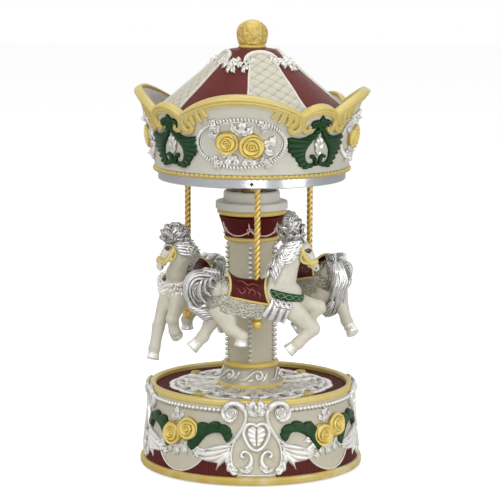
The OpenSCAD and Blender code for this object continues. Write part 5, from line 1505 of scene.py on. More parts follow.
@dataclass
class Horse:
    """One galloping horse on its pole, drawn with x forward, y towards the axis and z up from the seat."""

    number: int
    azimuth: float
    seat: float
    fore_outer: tuple
    fore_inner: tuple
    hind_outer: tuple
    hind_inner: tuple
    chest: Chest
    seed: int
    plume: tuple = ((15.1, 0.0, 21.2), (3.9, 3.5, 5.0))
    head_turn: float = 0.0
    head_shift: tuple[float, float] = (0.0, 0.0)
    tail_hang: float = 0.0
    chest_lift: float = 0.0
    ring: float = 32.0
    pole_radius: float = 1.45
    voxel: float = 0.46
    torso: tuple = ((-20.2, -5.6, 0.6, 0.6), (-19.2, -5.4, 3.8, 3.4), (-15.5, -5.4, 6.3, 5.5), (-10, -6.2, 6.5, 5.6),
                    (-3, -7.3, 6.6, 5.7), (4, -7.4, 7.0, 5.7), (9.4, -6.9, 7.2, 5.7), (14.0, -6.9, 6.5, 5.3),
                    (17.4, -7.6, 5.0, 4.3), (19.4, -8.2, 1.0, 1.0))
    neck: tuple = ((9.4, -4.0, 6.9, 4.9), (11.2, 1.6, 6.2, 4.5), (13.2, 7, 5.2, 3.9), (15.8, 12, 4.2, 3.2),
                   (17.8, 15.4, 3.1, 2.6), (19.2, 17.2, 1.4, 1.4))
    head: tuple = ((17.3, 17.4, 1.2, 1.2), (18.6, 15.9, 2.9, 2.3), (20.5, 13.2, 3.5, 2.55), (22.3, 10.5, 2.9, 2.05),
                   (23.9, 8.0, 2.1, 1.65), (25.3, 5.9, 1.9, 1.6), (26.2, 4.6, 1.35, 1.25), (26.7, 4.0, 0.4, 0.4))

    @property
    def rider(self) -> str:
        """The body that its pieces ride on."""
        return f"rider_{self.number}"

    def loft(self, stations: Sequence[Sequence[float]], count: int) -> Relief:
        """Carries an ellipse through stations by a smooth line.

        Args:
            stations: Rows of x, z, half-depth and half-width.
            count: Rows wanted.

        Returns:
            The relief, in the horse's own place.
        """
        s = spline(stations, count)
        path = np.stack([s[:, 0], np.zeros(count), s[:, 1]], axis=1)
        deep, wide = np.maximum(s[:, 2], 0.2), np.maximum(s[:, 3], 0.2)
        return rope(path, deep, 24, flat=wide / deep)

    def leg(self, joints: Sequence[Sequence[float]], hind: bool) -> Relief:
        """A leg: a tube through its joints whose radius follows thigh, knee, cannon and fetlock.

        Args:
            joints: Its four joints, from the trunk to the hoof.
            hind: Whether it is a hind leg.

        Returns:
            The relief.
        """
        j = np.asarray(joints, float)
        share = [0, 0.3, 0.65, 0.92, 1.0, 1.12, 1.5, 1.9, 2.0, 2.5, 3.0]
        at = [np.interp(share, [0, 1, 2, 3], j[:, i]) for i in range(3)]
        radius = [6.2, 5.7, 4.5, 3.4, 3.3, 3.1, 2.7, 2.8, 2.95, 2.4, 2.6] if hind else \
            [5.2, 4.7, 3.7, 3.1, 3.3, 3.1, 2.65, 2.75, 2.9, 2.4, 2.6]
        s = spline(np.stack([*at, np.array(radius)], axis=1), 64)
        width = np.interp(np.linspace(0, 1, 64), [0, 0.25, 0.5, 1], [0.72, 0.85, 0.95, 1.0])
        return rope(s[:, :3], s[:, 3], 18, flat=width)

    def hoof(self, joints: Sequence[Sequence[float]]) -> Relief:
        """A hoof: a short cone that widens to its sole, round the last stretch of the leg.

        Args:
            joints: The leg's four joints.

        Returns:
            The relief.
        """
        top, foot = np.asarray(joints[2], float), np.asarray(joints[3], float)
        share = np.array([0.42, 0.46, 0.5, 0.62, 0.85, 1.0, 1.03])[:, None]
        return rope(top + (foot - top) * share, np.array([2.6, 2.95, 2.7, 2.7, 2.95, 3.1, 2.6]), 18, flat=0.92)

    def flank(self, x: Array, angle: Array, out: Array | float, hang: bool = False) -> Array:
        """A point of the barrel, by its place along the horse and its angle from the spine.

        The section is the torso's ellipse, moved outward along its normal; a hanging cloth goes straight down once
        past the widest point.

        Args:
            x: Place along the horse.
            angle: Angle from the spine in radians, positive towards the axis.
            out: Distance above the skin.
            hang: Whether it leaves the skin below the widest point.

        Returns:
            The points.
        """
        s = spline(self.torso, 160)
        z, d, w = (np.interp(x, s[:, 0], s[:, i]) for i in (1, 2, 3))
        a = np.clip(angle, -np.pi / 2, np.pi / 2) if hang else angle
        ny, nz = np.sin(a) / w, np.cos(a) / d
        size = np.hypot(ny, nz)
        drop = np.maximum(np.abs(angle) - np.pi / 2, 0) * d if hang else 0.0
        across, up = w * np.sin(a) + ny / size * out, z + d * np.cos(a) + nz / size * out - drop
        return np.stack([x + 0 * a, across, up], axis=-1)

    def sheet(self, x0: float, half: Callable[[Array], Array], reach: Callable[[Array], Array],
              out: Callable[[Array, Array], Array], thick: float, rows: int = 64, cols: int = 30) -> Relief:
        """A cloth or leather sheet over the back, as a closed ribbon section carried from one flap to the other.

        Args:
            x0: Its middle along the horse.
            half: Half-length by angle.
            reach: Largest angle by place along, from -1 to 1.
            out: Height above the skin by place along and angle.
            thick: Its thickness.
            rows: Rows round the horse.
            cols: Columns along it.

        Returns:
            The relief.
        """
        u = np.linspace(-1, 1, cols)[None, :]
        v = np.linspace(-1, 1, rows)[:, None]
        angle = v * reach(u)
        x = x0 + u * half(angle)
        top = self.flank(x, angle, out(u, angle) + thick, hang=True)
        under = self.flank(x, angle, out(u, angle) - 0.35, hang=True)[:, ::-1]
        edge = np.clip((np.abs(u) - 0.86) * 7, 0, 1) * 0.7 * np.ones((rows, 1))
        return Relief(np.concatenate([top, under], axis=1), np.concatenate([edge, edge], axis=1))

    def turned(self, relief: Relief) -> Relief:
        """Turns the head and neck to one side, about the upright line through the poll.

        The angle and the sideways shift are the head's own times a smooth step of the height above the withers.

        Args:
            relief: A relief of the head, the neck or the hair.

        Returns:
            The turned relief.
        """
        p = relief.points
        rise = np.clip((p[..., 2] - 1.0) / 13.0, 0, 1) * (p[..., 0] > 5.0)
        a = math.radians(self.head_turn) * rise * rise * (3 - 2 * rise)
        poll = 18.5
        x, y = p[..., 0] - poll, p[..., 1]
        share = rise * rise * (3 - 2 * rise)
        along = poll + np.cos(a) * x - np.sin(a) * y + self.head_shift[0] * share
        side = np.sin(a) * x + np.cos(a) * y + self.head_shift[1] * share
        return Relief(np.stack([along, side, p[..., 2]], axis=-1), relief.recess)

    def world(self, relief: Relief) -> Relief:
        """Turns and moves a relief from the horse's own place to its place on the canopy's ring.

        Args:
            relief: The relief, in the horse's own place.

        Returns:
            The relief, in space.
        """
        a = math.radians(self.azimuth)
        p = self.turned(relief).points + np.array([0.0, -self.ring, self.seat])
        x = math.cos(a) * p[..., 0] - math.sin(a) * p[..., 1]
        y = math.sin(a) * p[..., 0] + math.cos(a) * p[..., 1]
        return Relief(np.stack([x, y, p[..., 2]], axis=-1), relief.recess)

    def cast(self, name: str, reliefs: Sequence[Relief], ring: bool = False) -> Casting:
        """Gathers reliefs of this horse into a piece.

        Args:
            name: The piece's name without the horse's number.
            reliefs: The reliefs, in the horse's own place.
            ring: Whether each one's last row joins its first.

        Returns:
            The piece.
        """
        casting = Casting(f"{name}_{self.number}")
        for relief in reliefs:
            casting.add(self.world(relief), ring)
        return casting

    def build_body(self) -> None:
        """Makes the horse's cream body: its lofts are fused by a voxel skin, smoothed, and shaded by their hollows."""
        ears = [rope(spline([(17.6, s * 1.6, 16.8), (17.9, s * 1.9, 19.0), (18.5, s * 2.2, 21.2)], 10),
                     np.array([1.2, 1.3, 1.35, 1.35, 1.3, 1.15, 0.95, 0.7, 0.45, 0.2]), 12, flat=0.6) for s in (-1, 1)]
        cheeks = [lump(2.5, 16, 12, (1, 0.5, 1), (20.2, s * 1.35, 12.2)) for s in (-1, 1)]
        lids = [lump(0.95, 12, 10, (1.3, 0.6, 0.8), (22.0, s * 1.85, 13.0)) for s in (-1, 1)]
        legs = [self.leg(self.fore_outer, False), self.leg(self.fore_inner, False), self.leg(self.hind_outer, True),
                self.leg(self.hind_inner, True)]
        trunk = [self.loft(self.torso, 70), self.loft(self.neck, 40), self.loft(self.head, 50)]
        rough = self.cast("rough", [*trunk, *ears, *cheeks, *lids, *legs])
        rough = bpy.data.objects.new("rough", rough.mesh())
        bpy.context.scene.collection.objects.link(rough)
        skin = rough.modifiers.new("skin", "REMESH")
        skin.mode, skin.voxel_size, skin.use_smooth_shade = "VOXEL", self.voxel * MM, True
        relax = rough.modifiers.new("relax", "SMOOTH")
        relax.factor, relax.iterations = 0.5, 5
        graph = bpy.context.evaluated_depsgraph_get()
        mesh = bpy.data.meshes.new_from_object(rough.evaluated_get(graph))
        bpy.data.objects.remove(rough)
        mesh.name = f"horse_body_{self.number}"
        mark_hollows(mesh, self.voxel)
        body = bpy.data.objects.new(mesh.name, mesh)
        settle(body, HORSE_CREAM, self.rider, [f"horse_{self.number}"])

    def build_face(self) -> None:
        """Makes the eyes, nostrils and bridle."""
        dark = []
        for s in (-1, 1):
            lid = spline([(20.5, s * 2.5, 12.8), (21.4, s * 2.6, 13.9), (22.7, s * 2.4, 13.9),
                          (23.5, s * 2.0, 13.1)], 12)
            dark += [lump(0.85, 12, 10, (1.3, 0.5, 0.8), (22.1, s * 2.25, 12.8)), rope(lid, np.full(12, 0.28), 8, SKEW),
                     lump(0.42, 10, 8, (1.0, 0.5, 1.2), (25.6, s * 1.45, 5.4))]
        self.cast("eyes_and_nostrils", dark).build(BLACK, self.rider, "horse_resin")
        t = np.radians(np.linspace(0, 360, 40))
        nose = np.stack([24.2 + 2.2 * np.cos(t) * 0.86, 1.85 * np.sin(t), 7.6 + 2.2 * np.cos(t) * 0.5], axis=1)
        straps = [rope(nose, 0.5, 10, (0.5, 0, -0.86), flat=2.4)]
        for s in (-1, 1):
            cheek = spline([(18.3, s * 2.5, 16.6), (19.4, s * 2.9, 13.6), (20.4, s * 2.95, 11.2), (22.0, s * 2.5, 8.8),
                            (23.6, s * 1.95, 7.4)], 30)
            cheek_axis = (0.8, 0.0, 0.6)
            straps.append(rope(cheek, 0.42, 10, cheek_axis, flat=2.2))
            rein = spline([(19.6, s * 2.9, 13.2), (18.6, s * 2.9, 10.6), (19.8, s * 2.7, 8.2),
                           (23.2, s * 1.9, 7.4)], 26)
            straps.append(rope(rein, 0.4, 8, cheek_axis, flat=1.4))
            straps.append(lump(0.75, 12, 8, (1, 1, 1), (23.5, s * 1.9, 7.3)))
        self.cast("bridle", straps).build(EDGE_GOLD, self.rider, "gold_paint")
        hooves = [self.hoof(j) for j in (self.fore_outer, self.fore_inner, self.hind_outer, self.hind_inner)]
        self.cast("silver_hooves", hooves).build(SILVER, self.rider, "silver_paint")

    def build_saddle(self) -> None:
        """Makes the saddle with its rim and engraving; the engraved lines are lighter than the leather, as painted
        highlight.
        """
        def half(a: Array) -> Array:
            """Half-length by angle."""
            return 7.5 + 2.2 * (np.abs(a) - 0.9) ** 2

        def reach(u: Array) -> Array:
            """Largest angle by place along."""
            return np.radians(101 + 7 * u - 5 * (1 - u**2))

        def out(u: Array, a: Array) -> Array:
            """Height over the skin, with a cantle behind and a pommel in front."""
            crest = np.cos(np.clip(a, -np.pi / 2, np.pi / 2)) ** 1.5
            return 0.75 + crest * (2.2 * np.exp(-(((u + 1) / 0.34) ** 2)) + 1.2 * np.exp(-(((u - 1) / 0.3) ** 2)))

        seat = self.sheet(-4.5, half, reach, out, 0.55)
        marks = []
        curves = ([(-0.62, 0.36), (-0.3, 0.28), (0.0, 0.42), (0.3, 0.34), (0.62, 0.44)],
                  [(-0.6, 0.62), (-0.36, 0.78), (-0.14, 0.66), (-0.3, 0.56)],
                  [(0.02, 0.76), (0.2, 0.58), (0.42, 0.64), (0.34, 0.78)],
                  [(-0.1, 0.52), (0.14, 0.6), (0.3, 0.5)], [(0.5, 0.62), (0.66, 0.7), (0.62, 0.82)])
        for s in (-1, 1):
            for curve in curves:
                q = spline(curve, 26)
                a = s * q[:, 1] * reach(q[:, 0])
                p = self.flank(-4.5 + q[:, 0] * half(a), a, out(q[:, 0], a) + 0.55, hang=True)
                marks.append(rope(p, swell(26, 0.16, 0.34, 0.14), 8, SKEW))
        saddle = self.cast("saddle_leather", [seat])
        # The engraved lines wear the lighter burgundy as painted highlight.
        self.cast("saddle_tooling_highlight", marks).build(TOOLING_HIGHLIGHT, self.rider, "saddle_paint")
        saddle.build(SADDLE_BURGUNDY, self.rider, "saddle_paint", [f"saddle_{self.number}"], sharp=50)
        t = np.linspace(-1, 1, 50)
        u = np.concatenate([t, np.full(90, 1.0), -t, np.full(90, -1.0)])
        v = np.concatenate([np.full(50, 1.0), np.linspace(1, -1, 90), np.full(50, -1.0), np.linspace(-1, 1, 90)])
        a = v * reach(u)
        rim = self.flank(-4.5 + u * half(a), a, out(u, a) + 0.25, hang=True)
        self.cast("saddle_rim", [rope(rim, 0.55, 10, SKEW)], ring=True).build(EDGE_GOLD, self.rider, "gold_paint")

    def build_blanket(self) -> None:
        """Makes the blanket under the saddle, covered in glitter."""
        rng = np.random.default_rng(self.seed)
        blanket = self.sheet(-7.4, lambda b: 8.6 + 3.2 * np.clip((np.abs(b) - 1.5) / 0.5, 0, 1) + 0.35 * np.sin(9 * b),
                             lambda w: np.radians(160 - 10 * w**2 + 6 * np.sin(11 * w + 0.5)),
                             lambda w, b: 0.3 + 1.5 * np.exp(-(((w + 0.72) / 0.3) ** 2)) * (np.abs(b) > 1.5), 0.45,
                             rows=110, cols=60)
        grains = []
        for s in (-1, 1):
            w = rng.uniform(-1.0, 1.0, 420)
            b = s * np.radians(rng.uniform(108, 158, 420) - 9 * w**2)
            lift = 0.75 + 1.5 * np.exp(-(((w + 0.72) / 0.3) ** 2))
            spots = self.flank(-7.4 + w * 11.8, b, lift, hang=True)
            grains += [lump(rng.uniform(0.4, 0.85), 6, 4, (1, 0.6, 1), spot, 0.35) for spot in spots]
        self.cast("glitter_blanket", [blanket, *grains]).build(GLITTER, self.rider, "silver_paint", sharp=50)

    def build_chest(self) -> None:
        """Makes what the horse wears across its chest, round a slanted ring."""
        t = np.radians(np.linspace(0, 360, 97)[:-1])
        centre = np.array([11.6 - 0.4 * self.chest_lift, 0, -6.0 + self.chest_lift])
        long, wide = np.array([8.2 - 0.7 * self.chest_lift, 0, -1.8]), np.array([0, 6.9 - 0.3 * self.chest_lift, 0])
        ring = centre + long * np.cos(t)[:, None] + wide * np.sin(t)[:, None]
        up = np.array([1.9, 0, 8.1]) / math.hypot(1.9, 8.1)
        if self.chest is Chest.BAND:
            self.build_band(t, ring, centre, up)
        else:
            self.build_garland(centre + (ring - centre) * 1.1, centre, up)

    def build_band(self, t: Array, ring: Array, centre: Array, up: Array) -> None:
        """Makes the green band with its weave and ribbons.

        Args:
            t: Angle round the ring of each of its points.
            ring: The ring's points.
            centre: Its middle.
            up: The direction square to it.
        """
        self.cast("chest_band", [rope(ring, 0.6, 12, up, flat=2.9)], ring=True).build(GREEN, self.rider, "green_paint")
        away = (ring - centre) / np.linalg.norm(ring - centre, axis=1, keepdims=True)
        waves = [rope(ring + away * 0.62 + up * (1.05 * np.sin(8 * t + phase))[:, None], 0.16, 6, up)
                 for phase in (0.0, np.pi)]
        self.cast("chest_weave", waves, ring=True).build(WEAVE_GREEN, self.rider, "green_paint")
        ties = []
        for s in (-1, 1):
            for k, (x, low, wide) in enumerate(((6.4, -15.0, 1.9), (9.6, -16.4, 2.0), (12.8, -17.0, 1.7))):
                y = s * (6.9 - 0.3 * k)
                path = spline([(x, y, -7.2 - 0.6 * k), (x - 0.4, y + s * 0.7, -9.6 - 0.5 * k),
                               (x - 1.8, y + s * 0.6, -12.6 - 0.4 * k), (x - 3.4, y - s * 0.2, low)], 26)
                ties.append(rope(path, swell(26, 0.5, 0.8, 0.7), 24, (0.93, s * 0.35, -0.28),
                                 flat=np.linspace(1.3, 2.9, 26) * wide / 1.9, lobes=3, lobe=0.3))
            for x, z in ((8.8, -7.6), (11.2, -8.2), (13.4, -8.6)):
                loop = spline([(x, s * 7.0, z), (x - 1.3, s * 7.9, z - 1.0), (x - 0.6, s * 8.1, z - 2.4),
                               (x + 0.9, s * 7.8, z - 1.8), (x + 0.4, s * 7.2, z - 0.4)], 22)
                ties.append(rope(loop, 0.45, 14, (0.6, 0, 0.8), flat=1.7, lobes=4, lobe=0.2))
        self.cast("chest_ribbons", ties).build(MANE_SILVER, self.rider, "silver_paint")

    def build_garland(self, ring: Array, centre: Array, up: Array) -> None:
        """Makes the silver garland: a ribbed ring covered in petals.

        Args:
            ring: The ring's points.
            centre: Its middle.
            up: The direction square to it.
        """
        rng = np.random.default_rng(self.seed + 50)
        garland = self.cast("chest_garland", [rope(ring, 0.9, 12, up, flat=3.2, lobes=3, lobe=0.15)], ring=True)
        for k in rng.permutation(len(ring)):
            away = (ring[k] - centre) / np.linalg.norm(ring[k] - centre)
            round_way = np.cross(up, away)
            for row in (-1.0, 0.0, 1.0):
                spot = ring[k] + away * 0.6 + up * (row * 1.5 + rng.uniform(-0.8, 0.8))
                swing = rng.uniform(-0.9, 0.9)
                end = away * 1.2 + round_way * swing * 1.5 + up * row * rng.uniform(0.3, 1.6)
                petal = spline([spot, spot + end * 0.5 + away * 0.5, spot + end], 8)
                garland.add(self.world(rope(petal, swell(8, 0.35, 0.5, 0.2), 8, np.cross(end, away), flat=2.0)))
        garland.build(SILVER, self.rider, "silver_paint")

    def nape(self, t: Array, b: Array, out: Array) -> tuple[Array, Array]:
        """A point over the neck, by its place up the neck and its angle from the crest.

        Args:
            t: Place along the neck, from 0 at the withers to 1 at the poll.
            b: Angle from the crest in radians, positive towards the axis.
            out: Distance above the skin.

        Returns:
            The points, and the direction round the neck there.
        """
        s = spline(self.neck, 120)
        x, z, deep, wide = (np.interp(t, np.linspace(0, 1, 120), s[:, i]) for i in range(4))
        step = np.gradient(s[:, :2], axis=0)
        step /= np.linalg.norm(step, axis=1, keepdims=True)
        tx, tz = (np.interp(t, np.linspace(0, 1, 120), step[:, i]) for i in (0, 1))
        back, side = (deep + out) * np.cos(b), (wide + out) * np.sin(b)
        points = np.stack([x - tz * back, side, z + tx * back], axis=1)
        round_way = np.stack([tz * np.sin(b), np.cos(b), -tx * np.sin(b)], axis=1)
        return points, round_way

    def tress(self, t0: float, t1: float, b0: float, b1: float, half: float, rng: np.random.Generator,
              flick: float = 0.8, thick: float = 0.6) -> Relief:
        """A flat, ridged lock of the mane that flows down the neck in an S and flicks away at its tip.

        Args:
            t0: Where it starts up the neck.
            t1: Where it ends.
            b0: Angle from the crest at its start in radians.
            b1: Angle at its end.
            half: Largest half-width.
            rng: The horse's random stream.
            flick: How far the tip leaves the neck.
            thick: Half-thickness.

        Returns:
            The relief.
        """
        rows = 26
        s = np.linspace(0, 1, rows)
        sway = rng.uniform(0.8, 1.2)
        b = b0 + (b1 - b0) * s**0.85 + 0.26 * sway * np.sin(2 * np.pi * s * 1.4 + rng.uniform(-0.6, 0.6)) * s
        t = t0 + (t1 - t0) * s**1.15 + 0.035 * sway * np.sin(2 * np.pi * s + 0.8) * s
        out = 0.25 + 0.75 * np.sin(np.pi * s**0.8) + flick * s**3
        points, round_way = self.nape(t, b, out)
        radius = thick * swell(rows, 0.7, 1.0, 0.35, 0.35)
        flat = half / thick * swell(rows, 0.75, 1.0, 0.5, 0.45)
        along = np.gradient(points, axis=0)
        normal = np.cross(along, round_way)
        across = np.cross(normal, along)
        return rope(points, radius, 22, across, flat=flat, lobes=5, lobe=0.2, twist=rng.uniform(-0.3, 0.3))

    def curl_lock(self, around: float, low: float, high: float, rng: np.random.Generator) -> Relief:
        """A short lock of the topknot: it climbs the plume's side, swells outward and hooks back at its tip.

        Args:
            around: Its place round the plume in radians.
            low: Latitude of its foot in radians.
            high: Latitude of its crown.
            rng: The horse's random stream.

        Returns:
            The relief.
        """
        centre, reach = (np.asarray(v, float) for v in self.plume)
        s = np.linspace(0, 1, 18)
        lat = low + (high - low) * np.sin(0.5 * np.pi * 1.35 * s)
        az = around + 0.28 * np.sin(2 * np.pi * s + rng.uniform(0, 6.28))
        out = 0.1 + 1.9 * s**1.5 - 1.7 * np.clip((s - 0.8) / 0.2, 0, 1) ** 2
        away = np.stack([np.cos(lat) * np.cos(az), np.cos(lat) * np.sin(az), np.sin(lat)], axis=1)
        body = (reach + out[:, None]) * away
        level = np.stack([-np.sin(az), np.cos(az), 0 * az], axis=1)
        strand = rope(centre + body, swell(18, 0.55, 0.8, 0.5, 0.6), 16, level, flat=swell(18, 1.5, 1.9, 1.2, 0.6),
                      lobes=4, lobe=0.14)
        # Painted shade deepening towards the lock's root, where the locks crowd together.
        root = 0.75 * np.linspace(1, 0, strand.recess.shape[0])[:, None] ** 0.8
        return Relief(strand.points, np.clip(strand.recess + root, 0, 1))

    def lock(self, points: Sequence[Sequence[float]], half: float, thick: float, axis: Sequence[float],
             rows: int = 34) -> Relief:
        """A ridged lock along control points, thinning to its tip.

        Args:
            points: Control points, in the horse's own place.
            half: Half-width along the axis.
            thick: Half-thickness.
            axis: The direction in which it is wide.
            rows: Rows along it.

        Returns:
            The relief.
        """
        radius = thick * swell(rows, 0.6, 1.0, 0.25, 0.4)
        return rope(spline(points, rows), radius, 22, axis, flat=half / thick, lobes=7, lobe=0.15)

    def tail(self, rng: np.random.Generator) -> list[Relief]:
        """The tail: a broad plume that arches back from the croup and curls under, with shorter locks inside it.

        Its middle line leans towards the ground by the horse's own hang, from 0 for a flying tail to 1.

        Args:
            rng: The horse's random stream.

        Returns:
            The locks.
        """
        flying = np.array([(-16.6, -1.0), (-18.8, 2.2), (-22.8, 4.0), (-27.4, 3.4), (-30.6, 0.2), (-31.4, -4.6),
                           (-29.8, -9.4), (-26.8, -13.4), (-23.2, -15.4)])
        hanging = np.array([(-16.6, -1.0), (-18.6, 0.8), (-21.2, 0.4), (-23.4, -2.4), (-24.2, -7.0), (-23.6, -12.4),
                            (-21.4, -17.6), (-17.8, -22.4), (-13.6, -26.4)])
        line = flying + (hanging - flying) * self.tail_hang
        out = []
        for y, inner, half in ((-2.9, 0.10, 1.5), (-1.0, 0.0, 1.7), (1.0, 0.0, 1.7), (2.9, 0.10, 1.5),
                               (-2.2, 0.30, 1.5), (0.0, 0.26, 1.6), (2.2, 0.30, 1.5), (-1.2, 0.5, 1.5),
                               (1.2, 0.52, 1.5),
                               (0.0, 0.66, 1.3)):
            middle = line + (line.mean(axis=0) - line) * (inner + rng.uniform(-0.03, 0.03))
            wave = (0.5 + 1.5 * self.tail_hang) * np.sin(np.arange(9) * 2.1 + rng.uniform(0, 6.28))
            points = np.stack([middle[:, 0], y * np.array([0.35, 0.7, 1, 1.1, 1.1, 1.05, 1, 0.9, 0.8]) + wave * 0.5,
                               middle[:, 1] + wave * 0.4], axis=1)
            out.append(self.lock(points, half, 0.8, (0, 1, 0), 48))
        fall = np.array([3.0, 0.0, -4.0]) * self.tail_hang
        for s in (-1, 1):
            for k in range(3):
                start = np.array([-18.0 - 2.2 * k, s * (2.0 + 0.3 * k), 1.2 - 0.3 * k])
                drop = 4.0 + 2.8 * k
                points = [start, start + (-2.0, s * 1.5, 0.6 - 0.3 * k), start + (-3.4, s * 1.9, -0.35 * drop),
                          start + (-2.6, s * 1.7, -0.75 * drop) + fall * 0.5,
                          start + (-0.2 + 0.2 * k, s * 1.2, -1.05 * drop) + fall * 0.8]
                out.append(self.lock(points, 1.35, 0.6, (0.5, s * 0.5, 0.7), 28))
            for k in range(5):
                start = np.array([line[-3][0] - 0.4 + 1.1 * k, s * (3.2 - 0.5 * k), line[-3][1] + 0.6 - 1.1 * k])
                reach = 6.0 + 1.6 * k
                points = [start, start + (reach * 0.22, s * 0.8, -2.6), start + (reach * 0.6, s * 0.6, -3.2 + 0.3 * k),
                          start + (reach, s * 0.2, -2.0 - 0.1 * k)]
                out.append(self.lock(points, 1.5, 0.75, (0, s * 0.5, 0.86), 24))
            for k in range(3):
                start = np.array([-16.2 - 0.8 * k, s * 0.9, 0.4])
                points = [start, start + (-0.8 - 0.9 * k, s * 1.0, 3.4 + 0.3 * k),
                          start + (-3.2 - k, s * 1.7, 4.0 + 0.3 * k), start + (-4.6 - k, s * 2.1, 2.2)]
                out.append(self.lock(points, 1.3, 0.65, (0, 1, 0), 22))
        return out

    def build_hair(self) -> None:
        """Makes the mane, the topknot, the forelock and the tail."""
        rng = np.random.default_rng(self.seed)
        hair = []
        for s in (-1, 1):
            for t0 in np.linspace(0.16, 0.46, 5):
                hair.append(self.tress(t0 + 0.14, t0 - 0.08, s * 0.35, s * 1.3, 1.0, rng, 0.9, 0.5))
            for t0 in np.linspace(0.44, 0.78, 4):
                hair.append(self.tress(t0, t0 - 0.24, s * 0.35, s * 1.3, 1.3, rng, 0.6))
            for t0 in np.linspace(0.66, 1.02, 6):
                hair.append(self.tress(min(t0, 1.0), t0 - 0.26, s * 1.95, s * 0.75, 1.7, rng, 1.7, 0.75))
            for t0 in np.linspace(0.74, 1.02, 4):
                hair.append(self.tress(min(t0, 1.0), t0 - 0.2, s * 1.2, s * 0.2, 1.7, rng, 2.2, 0.75))
        for k, t0 in enumerate(np.linspace(0.2, 1.0, 9)):
            hair.append(self.tress(t0, t0 - 0.22, 0.12, 0.5 * (-1) ** k, 1.7, rng, 2.6, 0.8))
        centre, reach = (np.asarray(v, float) for v in self.plume)
        for low, high, count in ((-62, -8, 8), (-34, 22, 9), (-4, 48, 9), (26, 78, 7), (58, 108, 4)):
            for k in range(count):
                around = 2 * np.pi * (k + 0.5 * (low % 4 > 1)) / count + rng.uniform(-0.15, 0.15)
                hair.append(self.curl_lock(around, math.radians(low), math.radians(high), rng))
        # The plume's core ball is mostly painted shade, dark between the locks.
        hair.append(lump(1.0, 20, 14, reach - 0.35, centre, 0.85))
        for s in (-1, 0, 1):
            points = [(17.6, s * 0.9, 19.4), (19.6, s * 1.4, 19.0), (20.9, s * 1.9, 17.0), (21.2, s * 2.0, 15.0)]
            hair.append(self.lock(points, 1.0, 0.5, (0, 1, 0.2), 20))
        hair += self.tail(rng)
        self.cast("silver_mane", hair).build(MANE_SILVER, self.rider, "mane_silver", [f"mane_{self.number}"])

    def build_pole(self) -> None:
        """Makes the gold pole: a tube with three twisted lobes, its ball and the collars under the horse."""
        low, high = (np.asarray(corner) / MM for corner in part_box(f"pole_{self.number}"))
        top, ball = float(high[2]) - self.seat, -19.3
        rows = int((top - ball) * 3.4)
        path = np.stack([np.zeros(rows), np.zeros(rows), np.linspace(ball, top, rows)], axis=1)
        twisted = rope(path, self.pole_radius * 0.9, 18, (1, 0, 0), lobes=3, lobe=0.11, twist=(top - ball) / 2.5)
        z = np.array([-22.2, -22.0, -21.6, -20.9, -20.1, -19.3, -18.5, -17.8, -17.3, -16.9, -16.3, -15.5])
        r = np.array([0.6, 1.2, 1.75, 2.2, 2.45, 2.5, 2.35, 1.95, 1.5, 1.95, 2.0, 1.1])
        a = np.radians(np.arange(24) * 15.0)
        z = z + (float(low[2]) - self.seat + 22.2)
        knob = np.stack([r[:, None] * np.cos(a), r[:, None] * np.sin(a), z[:, None] + 0 * a], axis=2)
        pole = self.cast("twisted_pole", [twisted, Relief(knob, np.zeros((12, 24)))])
        pole.build(POLE_GOLD, self.rider, "pole_gold", [f"pole_{self.number}"])

    def build(self) -> None:
        """Makes every piece of the horse."""
        self.build_body()
        self.build_face()
        self.build_saddle()
        self.build_blanket()
        self.build_chest()
        self.build_hair()
        self.build_pole()


def mark_hollows(mesh: bpy.types.Mesh, spacing: float) -> None:
    """Writes how hollow the surface is at each point, as the mask for painted shade: the mean offset of its neighbours
    along its normal, smoothed.

    Args:
        mesh: The mesh.
        spacing: Distance between its points in millimetres.
    """
    count = len(mesh.vertices)
    co = np.empty(count * 3, np.float32)
    mesh.vertices.foreach_get("co", co)
    co = co.reshape(-1, 3).astype(float)
    normal = np.empty(count * 3, np.float32)
    mesh.vertices.foreach_get("normal", normal)
    normal = normal.reshape(-1, 3)
    ends = np.empty(len(mesh.edges) * 2, np.int32)
    mesh.edges.foreach_get("vertices", ends)
    a, b = ends.reshape(-1, 2).T
    near = np.maximum(np.bincount(a, minlength=count) + np.bincount(b, minlength=count), 1)

    def mean(values: Array) -> Array:
        """The mean of each point's neighbours."""
        return (np.bincount(a, values[b], count) + np.bincount(b, values[a], count)) / near

    offset = np.stack([mean(co[:, i]) for i in range(3)], axis=1) - co
    hollow = np.einsum("ij,ij->i", offset, normal) / (spacing * MM)
    for _ in range(5):
        hollow = 0.5 * hollow + 0.5 * mean(hollow)
    # Painted shade: the hollows take the dark colour.
    mesh.attributes.new("recess", "FLOAT", "POINT")
    mesh.attributes["recess"].data.foreach_set("value", np.clip(hollow * 9, 0, 1).astype(np.float32))


# ---------------------------------------------------------------- floor, lights and camera


@dataclass(frozen=True)
class Lamp:
    """A soft rectangular lamp aimed at the middle of the object."""

    name: str
    place: tuple[float, float, float]
    size: float
    watts: float
    target: tuple[float, float, float] = (0.0, 0.0, 0.1)

    def build(self) -> None:
        """Makes the lamp."""
        light = bpy.data.lights.new(self.name, "AREA")
        light.shape, light.size, light.energy = "SQUARE", self.size, self.watts
        lamp = bpy.data.objects.new(self.name, light)
        lamp.location = self.place
        lamp.rotation_euler = (Vector(self.target) - Vector(self.place)).to_track_quat("-Z", "Y").to_euler()
        bpy.context.scene.collection.objects.link(lamp)


